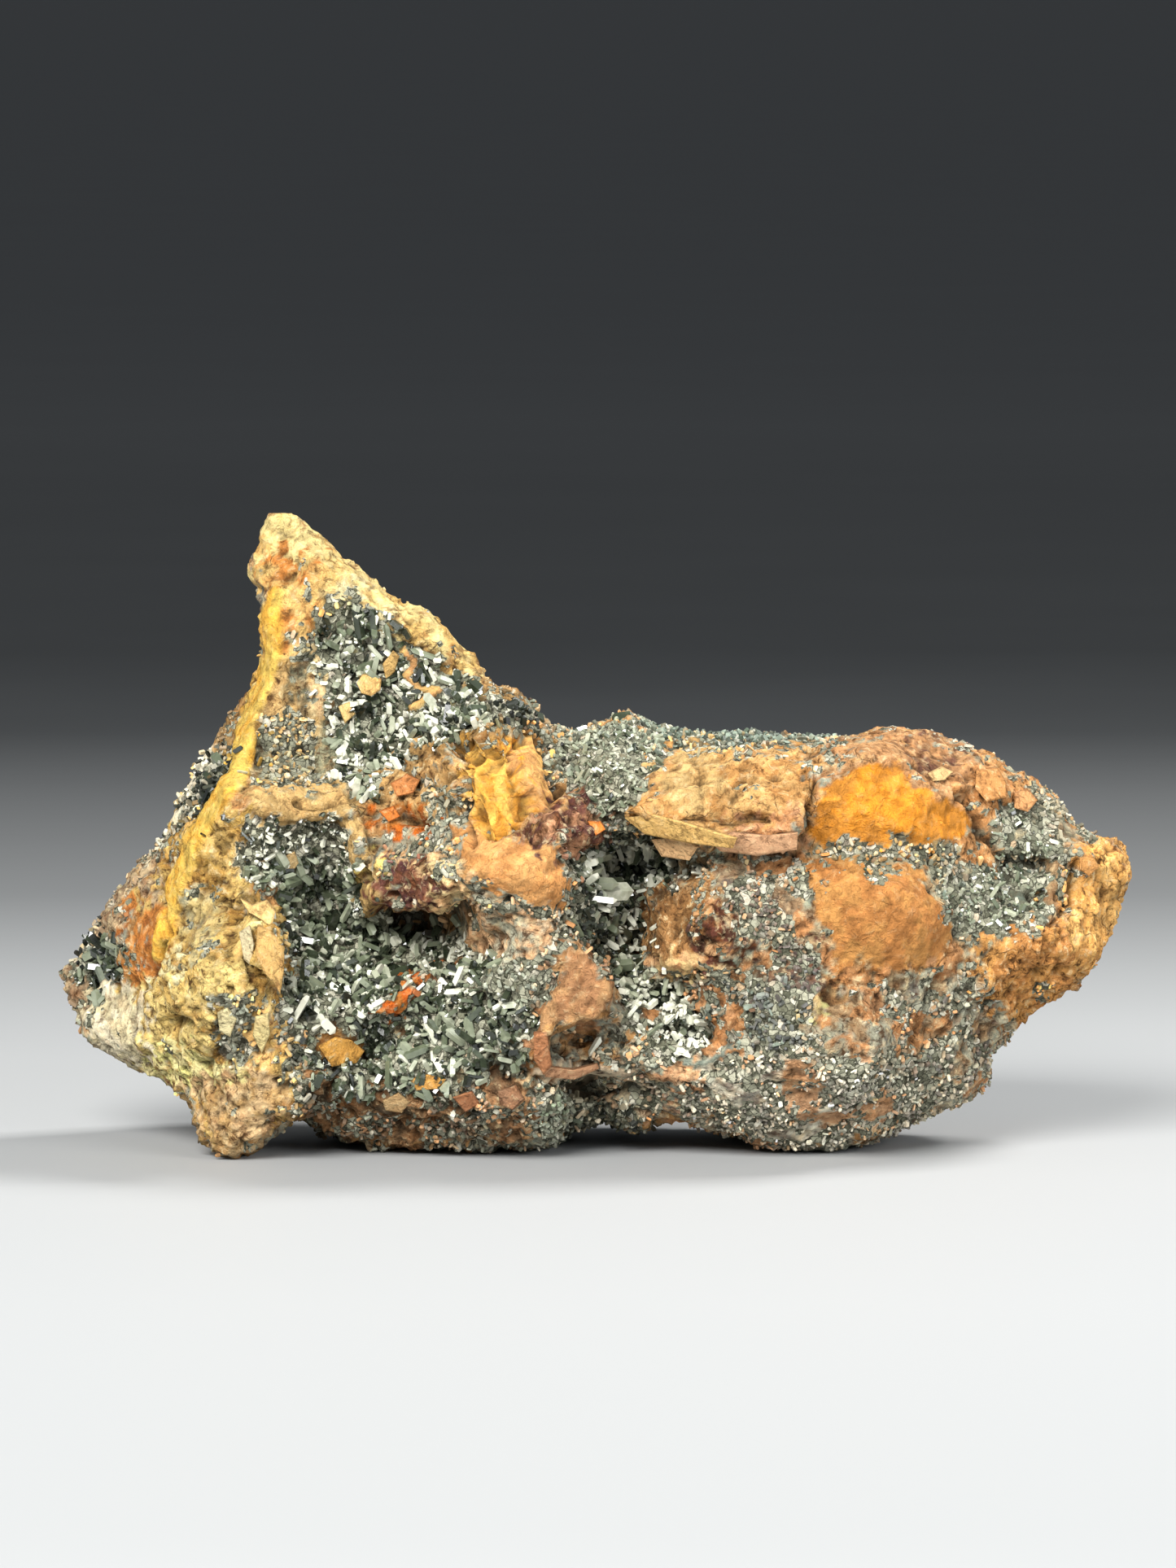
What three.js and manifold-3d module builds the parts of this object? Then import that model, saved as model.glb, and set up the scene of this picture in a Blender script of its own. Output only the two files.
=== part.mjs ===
// Olivenite on gossan: a rusty, cavernous piece of limonite matrix with a tall fin at its left end.
// Druses of dark green olivenite crystals line its hollows.
// Millimetres, +Z up, the front of the specimen faces -Y.
import * as THREE from "three";
import { ConvexGeometry } from "three/addons/geometries/ConvexGeometry.js";
import { mergeVertices } from "three/addons/utils/BufferGeometryUtils.js";
import Module from "manifold-3d";

const wasm = await Module();
wasm.setup();

// Driving dimensions
const LENGTH = 45; // left tip to right tip
const OUTLINE_SPAN_PX = 1324; // the same length in the front picture that the outlines below are read from
const PX_PER_MM = OUTLINE_SPAN_PX / LENGTH;
const VIEW_DISTANCE = 400; // from which the front picture is taken
const VIEW_TILT = THREE.MathUtils.degToRad(5); // the picture looks down by this much
const PICTURE_CENTRE = [722.5, 963.5];
const CENTRE_HEIGHT = 15.1; // height of the point at the picture's centre
const RIM_POWER = 3; // how squarely the faces turn into the rim
const BODY_DETAIL = 15; // subdivisions of the body, so that its rim has a corner for each outline point
const RIM_SNAP = 0.12; // a corner of the rim this near an outline point, in outline steps, falls onto it
const CRUST_GAP = 0.3; // between the matrix and a crust of crystals
const CRUST_SKIN = 0.75; // outer surface of a crust's base, above the matrix
const GROWTH_ROUNDS = 7; // times that the directions a crust grows in are evened out
const CRYSTAL_SINK = 0.35; // how far a crystal's foot starts below that surface
const PLATE_BEVEL = 0.14;
const MATRIX_TOLERANCE = 0.12; // facets closer to flat than this are joined
const SKIN_TOLERANCE = 0.2; // the same for the base of a crust
const CRUST_TOLERANCE = 0.03;
const NEAR_Y = -16; // in front of everything
const SEED = 11;

// The outline of the specimen in the picture, clockwise from the tip of the fin
const OUTLINE = [
  [333, 630], [350, 630], [402, 668], [420, 687], [495, 744], [527, 750], [541, 762], [562, 795],
  [620, 851], [649, 858], [680, 896], [706, 899], [751, 886], [762, 877], [778, 874], [802, 892],
  [850, 903], [920, 902], [1045, 908], [1100, 899], [1140, 899], [1168, 910], [1196, 925], [1234, 929],
  [1246, 950], [1268, 951], [1290, 971], [1324, 1020], [1350, 1035], [1377, 1040], [1389, 1065],
  [1381, 1100], [1355, 1150], [1347, 1180], [1306, 1220], [1262, 1243], [1222, 1282], [1214, 1298],
  [1220, 1318], [1196, 1348], [1110, 1384], [1066, 1406], [1000, 1414], [940, 1410], [880, 1383],
  [805, 1374], [768, 1392], [745, 1372], [702, 1380], [678, 1408], [540, 1413], [470, 1408], [410, 1396],
  [374, 1372], [350, 1374], [334, 1398], [302, 1425], [266, 1425], [240, 1394], [230, 1364], [219, 1339],
  [160, 1311], [128, 1294], [100, 1270], [96, 1238], [68, 1214], [66, 1193], [98, 1156], [133, 1106],
  [188, 1044], [200, 1012], [228, 966], [243, 930], [285, 884], [320, 830], [330, 788], [326, 750],
  [306, 696], [324, 668], [323, 650],
];
const HUB = [620, 1100]; // every outline point is in sight of this one

// How far each place of the front face stands towards the viewer: [picture x, picture y, millimetres]
const FRONT_DEPTHS = [
  [340, 640, 1.2], [365, 740, 2.6], [560, 820, 2.2], [470, 850, 3.4], [334, 820, 3.2], [300, 930, 5],
  [245, 1030, 6], [200, 1030, 1.5], [80, 1200, -1.5], [150, 1150, 2.6], [300, 1015, 7.4],
  [265, 1200, 9.6], [285, 1380, 8.4], [125, 1270, 4], [430, 1110, 6.2], [530, 1180, 6.6],
  [605, 940, 7], [640, 1060, 9.4], [640, 1180, 9.2], [700, 900, 2], [755, 940, 5.2], [785, 1110, 7],
  [890, 985, 7.4], [1100, 990, 8], [1230, 955, 4.6], [1280, 1030, 5], [1365, 1080, 2.6],
  [1285, 1170, 6.4], [1080, 1130, 9.4], [880, 1150, 9.2], [1020, 1290, 10.2], [1000, 1390, 7.2],
  [1190, 1310, 7], [600, 1350, 9], [450, 1330, 8.2], [730, 1330, 7.6], [830, 1250, 8.6],
];
// The same for the back face, away from the viewer
const BACK_DEPTHS = [
  [340, 640, 1.4], [380, 760, 2.6], [560, 830, 3], [450, 900, 5], [300, 950, 5.4], [190, 1100, 6],
  [80, 1200, 4.2], [150, 1280, 7], [300, 1250, 9], [450, 1100, 8.6], [650, 1000, 8], [760, 920, 5.4],
  [900, 960, 8.4], [1100, 950, 8], [1250, 1000, 6.2], [1370, 1080, 3.4], [1280, 1180, 6.4],
  [1050, 1150, 10.4], [800, 1150, 10.8], [600, 1250, 10.6], [1000, 1340, 9.6], [450, 1360, 8.6],
  [280, 1380, 4], [1150, 1330, 7.4],
];
// Where the front and back faces meet along the outline, in depth behind the picture plane
const RIM_DEPTHS = [
  [340, 640, 0.2], [240, 930, 1.4], [70, 1200, 3], [150, 1310, 1.4], [280, 1420, -4.4],
  [450, 1400, -0.6], [640, 1405, -1.4], [1000, 1405, -1.6], [1215, 1310, -0.4], [1389, 1070, 0.6],
  [1100, 900, 0.4], [770, 880, 1], [600, 830, 0.4],
];

// Relief of the front: lumps and plates stand out, hollows go in. Sizes in picture units, rise in mm.
const FRONT_RELIEF = [
  { name: "block", at: [268, 1235], size: [120, 150], rise: 1.6 },
  { name: "basin", at: [415, 1120], size: [82, 120], turn: -12, rise: -4.2 },
  { name: "basin floor", at: [520, 1172], size: [90, 52], turn: 6, rise: -3.6 },
  { name: "fin hollow", at: [482, 850], size: [120, 80], turn: -52, rise: -2.6 },
  { name: "rib hollow", at: [372, 925], size: [52, 62], rise: -1.4 },
  { name: "ochre lump", at: [612, 950], size: [76, 64], rise: 2, flat: true },
  { name: "central lobe", at: [640, 1085], size: [70, 120], turn: 18, rise: 2 },
  { name: "purple lump", at: [535, 1082], size: [76, 44], rise: 2.2 },
  { name: "purple pit", at: [515, 1140], size: [62, 18], rise: -2.8 },
  { name: "red lump", at: [706, 1018], size: [54, 42], rise: 2 },
  { name: "red pit", at: [650, 1010], size: [22, 16], rise: -1.6 },
  { name: "green mound", at: [762, 940], size: [66, 66], rise: 2.4 },
  { name: "cleft", at: [782, 1150], size: [52, 132], turn: 12, rise: -5 },
  { name: "cleft foot", at: [838, 1262], size: [24, 62], turn: 38, rise: -3 },
  { name: "cleft roof", at: [800, 1058], size: [76, 26], turn: -6, rise: -4.4 },
  { name: "tan plate", at: [888, 980], size: [130, 66], turn: 4, rise: 1.5, flat: true },
  { name: "lens plate", at: [1105, 985], size: [118, 66], turn: -8, rise: 1, flat: true },
  { name: "step under the plates", at: [1060, 1060], size: [170, 14], rise: -0.9 },
  { name: "orange patch", at: [1080, 1125], size: [104, 66], rise: 1.1, flat: true },
  { name: "brown lump", at: [858, 1140], size: [70, 62], rise: 1 },
  { name: "corner block", at: [1216, 955], size: [32, 28], rise: 1.4, flat: true },
  { name: "right groove", at: [1240, 1088], size: [60, 34], turn: 14, rise: -1.5 },
  { name: "right lump", at: [1300, 1172], size: [86, 74], turn: 24, rise: 1.7 },
  { name: "right knuckle", at: [1350, 1068], size: [38, 36], rise: 1.2 },
  { name: "belly", at: [1030, 1310], size: [190, 96], rise: 1.4 },
  { name: "undercut", at: [440, 1282], size: [92, 26], turn: 16, rise: -2 },
  { name: "foot hollow", at: [724, 1338], size: [44, 26], rise: -2.2 },
  { name: "ledge hollow", at: [716, 1290], size: [46, 24], rise: -2.4 },
  { name: "toe lump", at: [616, 1358], size: [56, 48], rise: 1.4 },
  { name: "green toe", at: [674, 1368], size: [36, 38], rise: 1.3 },
  { name: "flank groove", at: [240, 985], size: [22, 66], turn: 34, rise: -1.6 },
  { name: "left groove", at: [126, 1182], size: [18, 50], turn: 8, rise: -2 },
];
// Long crests of the front, each a line of picture points
const FRONT_CRESTS = [
  {
    name: "rib", rise: 2.2, width: 22,
    line: [[333, 770], [330, 850], [300, 935], [266, 1000], [214, 1080], [190, 1150]],
  },
  {
    name: "basin ledge", rise: 1.7, width: 18,
    line: [[272, 1003], [330, 984], [418, 996], [446, 1060], [470, 1128]],
  },
  { name: "fin edge", rise: 1, width: 22, line: [[380, 690], [470, 745], [545, 800]] },
  { name: "orange sliver", rise: 1.4, width: 14, line: [[448, 1238], [490, 1222], [540, 1195]] },
  { name: "lower ledge", rise: 1.6, width: 14, line: [[660, 1282], [668, 1314], [735, 1310], [780, 1300]] },
];
// Relief of the back: broad lumps and two shallow vugs
const BACK_RELIEF = [
  { name: "back hump", at: [640, 1180], size: [150, 110], turn: 20, rise: 1.6 },
  { name: "back vug", at: [850, 1060], size: [110, 60], turn: -16, rise: -3 },
  { name: "back shelf", at: [1080, 1010], size: [130, 60], turn: 8, rise: 1.6, flat: true },
  { name: "back step", at: [420, 1020], size: [90, 80], turn: 30, rise: 1.3, flat: true },
  { name: "back pit", at: [330, 1150], size: [60, 46], rise: -2 },
  { name: "back corner", at: [1230, 1110], size: [80, 80], rise: 1.4 },
  { name: "back toe", at: [980, 1340], size: [120, 56], rise: 1.2 },
];
// Flat breaks on the back and sides: [outward direction, distance from CORE]
const CORE = [0, 0, 12];
const BREAKS = [
  [[-0.3, 0.9, 0.3], 8.9], [[0.5, 0.8, 0.35], 12], [[0.15, 0.95, -0.35], 8.8], [[-0.5, 0.85, 0], 13.8],
  [[0.5, 0.85, 0.1], 14.2], [[0.35, 0.5, 0.8], 10.2], [[0.1, -0.6, -0.8], 13.4],
];
// Thin plates of limonite: where each is rooted in the front, and how far its face stands off there
const PLATES = [
  {
    name: "upper flake", root: [292, 1120], stand: 1.2, thick: 0.45, lean: 6, stem: 3.5,
    outline: [[292, 1106], [330, 1102], [339, 1112], [336, 1134], [300, 1136]],
  },
  {
    name: "lower flake", root: [310, 1172], stand: 1.1, thick: 0.5, lean: -10, stem: 3.5,
    outline: [[302, 1138], [340, 1134], [353, 1150], [352, 1185], [347, 1210], [312, 1186]],
  },
  {
    name: "tan plate lip", root: [880, 985], stand: 0.5, thick: 1.7, lean: -14, stem: 3,
    outline: [
      [768, 1003], [830, 975], [900, 970], [985, 990], [985, 1018], [968, 1042], [905, 1047],
      [860, 1026], [800, 1016],
    ],
  },
  {
    name: "pink plate", root: [700, 1210], stand: 0.7, thick: 1.3, lean: -4, stem: 4,
    outline: [
      [703, 1152], [745, 1182], [754, 1214], [734, 1246], [690, 1264], [664, 1278], [664, 1250],
      [690, 1200],
    ],
  },
  {
    name: "fin scale", root: [453, 838], stand: 0.8, thick: 0.6, lean: 0, stem: 1.6,
    outline: [[437, 834], [452, 826], [468, 836], [464, 850], [446, 850]],
  },
];
// Patches of crystals, as outlines in the picture. side is -1 on the front, 1 on the back.
const CRUSTS = [
  {
    name: "olivenite_crust_fin", side: -1, spacing: 1.75, long: 1.15,
    outline: [
      [402, 776], [448, 762], [506, 788], [552, 830], [586, 862], [576, 884], [538, 896], [496, 926],
      [454, 974], [420, 956], [404, 900],
    ],
  },
  {
    name: "olivenite_crust_basin", side: -1, spacing: 1.75, long: 1.25,
    outline: [
      [306, 1022], [344, 1008], [404, 1016], [432, 1066], [458, 1130], [504, 1152], [562, 1148],
      [594, 1180], [560, 1208], [512, 1196], [446, 1230], [404, 1258], [360, 1240], [344, 1130],
      [300, 1088],
    ],
  },
  {
    name: "olivenite_crust_cleft", side: -1, spacing: 1.7, long: 1.15,
    outline: [
      [722, 1062], [768, 1046], [850, 1062], [842, 1080], [800, 1098], [800, 1150], [806, 1200],
      [846, 1250], [862, 1290], [826, 1292], [786, 1250], [768, 1190], [752, 1120],
    ],
  },
  {
    name: "olivenite_crust_foot", side: -1, spacing: 1.9, long: 1.1,
    outline: [
      [392, 1276], [470, 1258], [560, 1226], [640, 1240], [652, 1290], [600, 1314], [548, 1332],
      [500, 1360], [440, 1364], [396, 1350],
    ],
  },
  {
    name: "olivenite_crust_mound", side: -1, spacing: 1.6, long: 1,
    outline: [[712, 930], [738, 914], [776, 908], [800, 926], [792, 966], [742, 984], [714, 962]],
  },
  {
    name: "olivenite_crust_shoulder", side: -1, spacing: 1.8, long: 1,
    outline: [
      [1232, 1002], [1266, 1000], [1288, 1032], [1286, 1090], [1256, 1116], [1196, 1134], [1180, 1108],
      [1236, 1066],
    ],
  },
  {
    name: "olivenite_crust_flank", side: -1, spacing: 1.5, long: 0.9,
    outline: [[226, 1024], [254, 968], [284, 936], [286, 956], [258, 1002], [238, 1038]],
  },
  {
    name: "olivenite_crust_tip", side: -1, spacing: 1.5, long: 0.9,
    outline: [[94, 1196], [118, 1164], [138, 1158], [136, 1194], [116, 1222], [100, 1214]],
  },
  {
    name: "olivenite_crust_back", side: 1, spacing: 1.9, long: 1.15,
    outline: [[756, 1062], [800, 1020], [880, 1006], [946, 1034], [936, 1080], [870, 1106], [790, 1104]],
  },
];
const COLOURS = {
  matrix: { color: 0xb9813f, roughness: 0.92, metalness: 0 },
  olivenite: { color: 0x1f2f22, roughness: 0.22, metalness: 0 },
};

// Repeatable random numbers from 0 to 1
function randomFrom(seed) {
  let state = seed >>> 0;
  return () => {
    state = (Math.imul(state, 1664525) + 1013904223) >>> 0;
    return state / 2 ** 32;
  };
}

// Smooth noise from -1 to 1, with features about one unit apart
function noise(x, y, z) {
  const cell = [x, y, z].map(Math.floor);
  const part = [x, y, z].map((v, i) => THREE.MathUtils.smoothstep(v - cell[i], 0, 1));
  const corner = (i, j, k) => {
    const [a, b, c] = [cell[0] + i, cell[1] + j, cell[2] + k];
    let h = Math.imul(a, 374761393) ^ Math.imul(b, 668265263) ^ Math.imul(c, 2147483647 ^ SEED);
    h = Math.imul(h ^ (h >>> 13), 1274126177);
    return ((h ^ (h >>> 16)) >>> 0) / 2 ** 31 - 1;
  };
  const { lerp } = THREE.MathUtils;
  const edge = (j, k) => lerp(corner(0, j, k), corner(1, j, k), part[0]);
  return lerp(lerp(edge(0, 0), edge(1, 0), part[1]), lerp(edge(0, 1), edge(1, 1), part[1]), part[2]);
}

// The point at depth y on the line of sight through a place in the picture
function sightPoint([px, py], y) {
  const across = (px - PICTURE_CENTRE[0]) / PX_PER_MM / VIEW_DISTANCE;
  const up = (PICTURE_CENTRE[1] - py) / PX_PER_MM / VIEW_DISTANCE;
  const [sin, cos] = [Math.sin(VIEW_TILT), Math.cos(VIEW_TILT)];
  const along = (y + VIEW_DISTANCE * cos) / (cos + up * sin);
  const z = CENTRE_HEIGHT + VIEW_DISTANCE * sin + along * (up * cos - sin);
  return new THREE.Vector3(along * across, y, z);
}

// Value at a place, blended from listed [x, y, value] rows by nearness
function blended(rows, [px, py]) {
  let [sum, weight] = [0, 0];
  for (const [x, y, value] of rows) {
    const w = 1 / ((x - px) ** 2 + (y - py) ** 2 + 900) ** 2;
    sum += value * w;
    weight += w;
  }
  return sum / weight;
}

function reliefAt(list, [px, py]) {
  let rise = 0;
  for (const f of list) {
    const turn = THREE.MathUtils.degToRad(f.turn ?? 0);
    const [dx, dy] = [px - f.at[0], py - f.at[1]];
    const u = (dx * Math.cos(turn) - dy * Math.sin(turn)) / f.size[0];
    const v = (dx * Math.sin(turn) + dy * Math.cos(turn)) / f.size[1];
    const q = Math.hypot(u, v);
    rise += f.rise * (f.flat ? 1 - THREE.MathUtils.smoothstep(q, 0.78, 1.08) : Math.exp(-1.6 * q * q));
  }
  return rise;
}

function distanceToLine(line, [px, py]) {
  let best = Infinity;
  for (let i = 1; i < line.length; i++) {
    const [[ax, ay], [bx, by]] = [line[i - 1], line[i]];
    const [dx, dy] = [bx - ax, by - ay];
    const t = THREE.MathUtils.clamp(((px - ax) * dx + (py - ay) * dy) / (dx * dx + dy * dy), 0, 1);
    best = Math.min(best, Math.hypot(px - ax - t * dx, py - ay - t * dy));
  }
  return best;
}

function crestAt(place) {
  let rise = 0;
  for (const c of FRONT_CRESTS) rise += c.rise * Math.exp(-((distanceToLine(c.line, place) / c.width) ** 2));
  return rise;
}

// The place on the outline at a share of its count of points
function onOutline(share) {
  const want = THREE.MathUtils.euclideanModulo(share, 1) * OUTLINE.length;
  const i = Math.floor(want);
  const [from, to] = [OUTLINE[i % OUTLINE.length], OUTLINE[(i + 1) % OUTLINE.length]];
  const t = THREE.MathUtils.clamp((want - i - RIM_SNAP) / (1 - 2 * RIM_SNAP), 0, 1);
  return [0, 1].map((k) => THREE.MathUtils.lerp(from[k], to[k], t));
}

// The section of the body from the middle of a face to its rim: [share of the way out, share of the depth],
// looked up by length along that curve so that the facets are even
function rimProfile(reach, depth, steps = 400) {
  const rows = [[0, 1, 0]];
  for (let i = 1; i <= steps; i++) {
    const a = (Math.PI / 2) * (i / steps);
    const out = Math.sin(a) ** (2 / RIM_POWER);
    const deep = Math.cos(a) ** (2 / RIM_POWER);
    const [o, d, length] = rows.at(-1);
    rows.push([out, deep, length + Math.hypot((out - o) * reach, (deep - d) * depth)]);
  }
  const whole = rows.at(-1)[2];
  return (share) => {
    const i = Math.max(1, rows.findIndex((r) => r[2] >= share * whole - 1e-9));
    const t = (share * whole - rows[i - 1][2]) / (rows[i][2] - rows[i - 1][2]);
    return [0, 1].map((k) => THREE.MathUtils.lerp(rows[i - 1][k], rows[i][k], t));
  };
}

const onProfile = rimProfile(17, 8);

// Moves one point of a unit ball to its place on the rock
function sculpt(direction) {
  const share = Math.atan2(direction.x, direction.z) / (2 * Math.PI);
  const fromPole = Math.acos(THREE.MathUtils.clamp(Math.abs(direction.y), 0, 1)) / (Math.PI / 2);
  const [out, deep] = onProfile(fromPole);
  const edge = onOutline(share);
  const place = [0, 1].map((k) => HUB[k] + (edge[k] - HUB[k]) * out);
  const rim = blended(RIM_DEPTHS, edge);
  let y;
  if (direction.y < 0) {
    const front = blended(FRONT_DEPTHS, place) + reliefAt(FRONT_RELIEF, place) + crestAt(place);
    y = rim - (front + rim) * deep;
  } else {
    y = rim + (blended(BACK_DEPTHS, place) + reliefAt(BACK_RELIEF, place) - rim) * deep;
  }
  const point = sightPoint(place, y);
  const rough = (wave, size, k) =>
    size * noise(point.x / wave + k, point.y / wave - k, point.z / wave + 3 * k);
  const inner = Math.min(1, 4 * (1 - out) + 0.25);
  point.x += inner * (rough(3.6, 0.45, 7) + rough(1.7, 0.2, 5));
  point.y += rough(3.1, 0.5, 19) + rough(1.5, 0.32, 31);
  point.z += inner * (rough(3.6, 0.45, 43) + rough(1.7, 0.2, 57));
  for (const [n, distance] of BREAKS) {
    const normal = new THREE.Vector3(...n).normalize();
    const past = point.dot(normal) - normal.dot(new THREE.Vector3(...CORE)) - distance;
    if (past > 0) point.addScaledVector(normal, -0.88 * past);
  }
  return point;
}

// A geometry with only shared positions, ready to become a solid
function positionsOnly(geometry) {
  geometry.deleteAttribute("normal");
  geometry.deleteAttribute("uv");
  return mergeVertices(geometry, 1e-4);
}

function solidOf(geometry) {
  const merged = positionsOnly(geometry);
  return new wasm.Manifold(
    new wasm.Mesh({
      numProp: 3,
      vertProperties: new Float32Array(merged.attributes.position.array),
      triVerts: new Uint32Array(merged.index.array),
    }),
  );
}

function geometryOf(solid) {
  const mesh = solid.getMesh();
  const positions = new Float32Array(mesh.numVert * 3);
  for (let i = 0; i < mesh.numVert; i++)
    positions.set(mesh.vertProperties.subarray(i * mesh.numProp, i * mesh.numProp + 3), i * 3);
  return new THREE.BufferGeometry()
    .setAttribute("position", new THREE.BufferAttribute(positions, 3))
    .setIndex(new THREE.BufferAttribute(new Uint32Array(mesh.triVerts), 1));
}

function sculptedBody() {
  const ball = positionsOnly(new THREE.IcosahedronGeometry(1, BODY_DETAIL));
  ball.rotateZ(Math.atan(2 / (1 + Math.sqrt(5))));
  const at = ball.attributes.position;
  for (let i = 0; i < at.count; i++) {
    const p = sculpt(new THREE.Vector3().fromBufferAttribute(at, i));
    at.setXYZ(i, p.x, p.y, p.z);
  }
  ball.computeVertexNormals();
  return ball;
}

const body = sculptedBody();

// The way in which each corner of the body grows: its normal, evened out with its neighbours' so that the two
// sides of a narrow hollow don't grow through each other
function growthDirections() {
  const index = body.index.array;
  let ways = body.attributes.normal.array;
  for (let round = 0; round < GROWTH_ROUNDS; round++) {
    const sum = Float32Array.from(ways, (way) => way * 3);
    for (let e = 0; e < index.length; e++) {
      const [a, b] = [index[e], index[e % 3 === 2 ? e - 2 : e + 1]];
      for (let k = 0; k < 3; k++) sum[3 * a + k] += ways[3 * b + k];
    }
    for (let i = 0; i < sum.length; i += 3) {
      const length = Math.hypot(sum[i], sum[i + 1], sum[i + 2]);
      for (let k = 0; k < 3; k++) sum[i + k] /= length;
    }
    ways = sum;
  }
  return new THREE.BufferAttribute(ways, 3);
}

const growth = growthDirections();

// The body grown outwards by so many millimetres
function bodySolid(grown) {
  const ball = body.clone();
  const at = ball.attributes.position;
  for (let i = 0; i < at.count; i++)
    at.setXYZ(
      i,
      at.getX(i) + growth.getX(i) * grown,
      at.getY(i) + growth.getY(i) * grown,
      at.getZ(i) + growth.getZ(i) * grown,
    );
  return solidOf(ball);
}

// A flat shape in the picture, pushed away from the viewer from one depth to another
function prismThrough(outline, fromY, toY) {
  const near = outline.map((p) => sightPoint(p, fromY));
  const far = outline.map((p) => sightPoint(p, toY));
  const shape = new THREE.Shape(near.map((p) => new THREE.Vector2(p.x, p.z)));
  const prism = new THREE.ExtrudeGeometry(shape, { depth: 1, bevelEnabled: false });
  const at = prism.attributes.position;
  for (let i = 0; i < at.count; i++) {
    const k = near.findIndex((p) => Math.hypot(p.x - at.getX(i), p.z - at.getY(i)) < 1e-4);
    const p = at.getZ(i) > 0.5 ? near[k] : far[k];
    at.setXYZ(i, p.x, p.y, p.z);
  }
  return solidOf(prism);
}

// Depth of the front surface behind a place in the picture
function frontDepth(place) {
  const [sin, cos] = [Math.sin(VIEW_TILT), Math.cos(VIEW_TILT)];
  const eye = new THREE.Vector3(0, -VIEW_DISTANCE * cos, CENTRE_HEIGHT + VIEW_DISTANCE * sin);
  const sight = new THREE.Raycaster(eye, sightPoint(place, 0).sub(eye).normalize());
  return sight.intersectObject(new THREE.Mesh(body))[0].point.y;
}

// The corners of a plate at its depth, and their middle
function platePoints(plate) {
  const depth = frontDepth(plate.root) - plate.stand + plate.thick;
  const points = plate.outline.map((p) => sightPoint(p, depth));
  const middle = points.reduce((sum, p) => sum.add(p), new THREE.Vector3()).divideScalar(points.length);
  return { points, middle };
}

function plateSolid(plate, grown) {
  const { points, middle } = platePoints(plate);
  const shape = new THREE.Shape(points.map((p) => new THREE.Vector2(p.x - middle.x, p.z - middle.z)));
  const geometry = new THREE.ExtrudeGeometry(shape, {
    depth: plate.thick,
    bevelThickness: PLATE_BEVEL + grown,
    bevelSize: PLATE_BEVEL + grown,
    bevelSegments: 1,
    bevelOffset: -PLATE_BEVEL,
  });
  const lean = THREE.MathUtils.degToRad(plate.lean);
  geometry.rotateX(Math.PI / 2 + lean).translate(middle.x, middle.y, middle.z);
  return solidOf(geometry);
}

// A stem from each plate back into the rock, so that every plate is rooted
function plateRoot(plate, grown) {
  const { points, middle } = platePoints(plate);
  const reach = Math.min(...points.map((p) => Math.hypot(p.x - middle.x, p.z - middle.z)));
  const root = new THREE.CylinderGeometry(reach * 0.8 + grown, reach * 0.6 + grown, plate.stem, 6);
  root.translate(middle.x, middle.y - plate.thick / 2 + plate.stem / 2, middle.z);
  return solidOf(root);
}

function matrixSolid(grown) {
  let solid = bodySolid(grown);
  for (const plate of PLATES) solid = solid.add(plateSolid(plate, grown)).add(plateRoot(plate, grown));
  return solid;
}

// Everything below the surface that the specimen stands on
function groundSolid() {
  const ground = new THREE.BoxGeometry(2 * LENGTH, 2 * LENGTH, LENGTH);
  ground.translate(0, 0, -LENGTH / 2);
  return solidOf(ground);
}

// One olivenite crystal: a flattened four-sided prism that ends in a wedge
function crystalGeometry(width, length, flatness) {
  const [w, t] = [width / 2, (width / 2) * flatness];
  const shoulder = length - width * 0.6;
  const corners = [[w, 0], [0, t], [-w, 0], [0, -t]];
  const points = [0, shoulder].flatMap((z) => corners.map(([x, y]) => new THREE.Vector3(x, y, z)));
  points.push(new THREE.Vector3(w * 0.5, 0, length), new THREE.Vector3(-w * 0.5, 0, length));
  return new ConvexGeometry(points);
}

function insideOutline(outline, [x, y]) {
  let inside = false;
  outline.forEach(([ax, ay], i) => {
    const [bx, by] = outline[(i + 1) % outline.length];
    if (ay > y !== by > y && x < ((bx - ax) * (y - ay)) / (by - ay) + ax) inside = !inside;
  });
  return inside;
}

// The place in the picture that a point of the rock is seen at
function pictureOf(p) {
  const [sin, cos] = [Math.sin(VIEW_TILT), Math.cos(VIEW_TILT)];
  const [dy, dz] = [p.y + VIEW_DISTANCE * cos, p.z - CENTRE_HEIGHT - VIEW_DISTANCE * sin];
  const scale = (PX_PER_MM * VIEW_DISTANCE) / (dy * cos - dz * sin);
  return [PICTURE_CENTRE[0] + p.x * scale, PICTURE_CENTRE[1] - (dy * sin + dz * cos) * scale];
}

// Feet of crystals: places spread over the body inside a patch, with the way that the rock faces there
function crystalFeet(crust, random) {
  const [at, normal, index] = [body.attributes.position, body.attributes.normal, body.index.array];
  const feet = [];
  const read = (attribute, corners, weights) =>
    corners.reduce(
      (sum, c, k) => sum.addScaledVector(new THREE.Vector3().fromBufferAttribute(attribute, c), weights[k]),
      new THREE.Vector3(),
    );
  for (let pass = 0; pass < 4; pass++)
    for (let i = 0; i < index.length; i += 3) {
      const [a, b] = [random(), random()].map((v) => v * 0.5);
      const weights = [a, b, 1 - a - b];
      const corners = [index[i], index[i + 1], index[i + 2]];
      const foot = read(at, corners, weights);
      const facing = read(normal, corners, weights).normalize();
      if (facing.y * crust.side < -0.35 || foot.z < 1.6) continue;
      if (foot.y * crust.side < -2 || !insideOutline(crust.outline, pictureOf(foot))) continue;
      if (feet.some((f) => f.foot.distanceTo(foot) < crust.spacing)) continue;
      feet.push({ foot, facing });
    }
  return feet;
}

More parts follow.
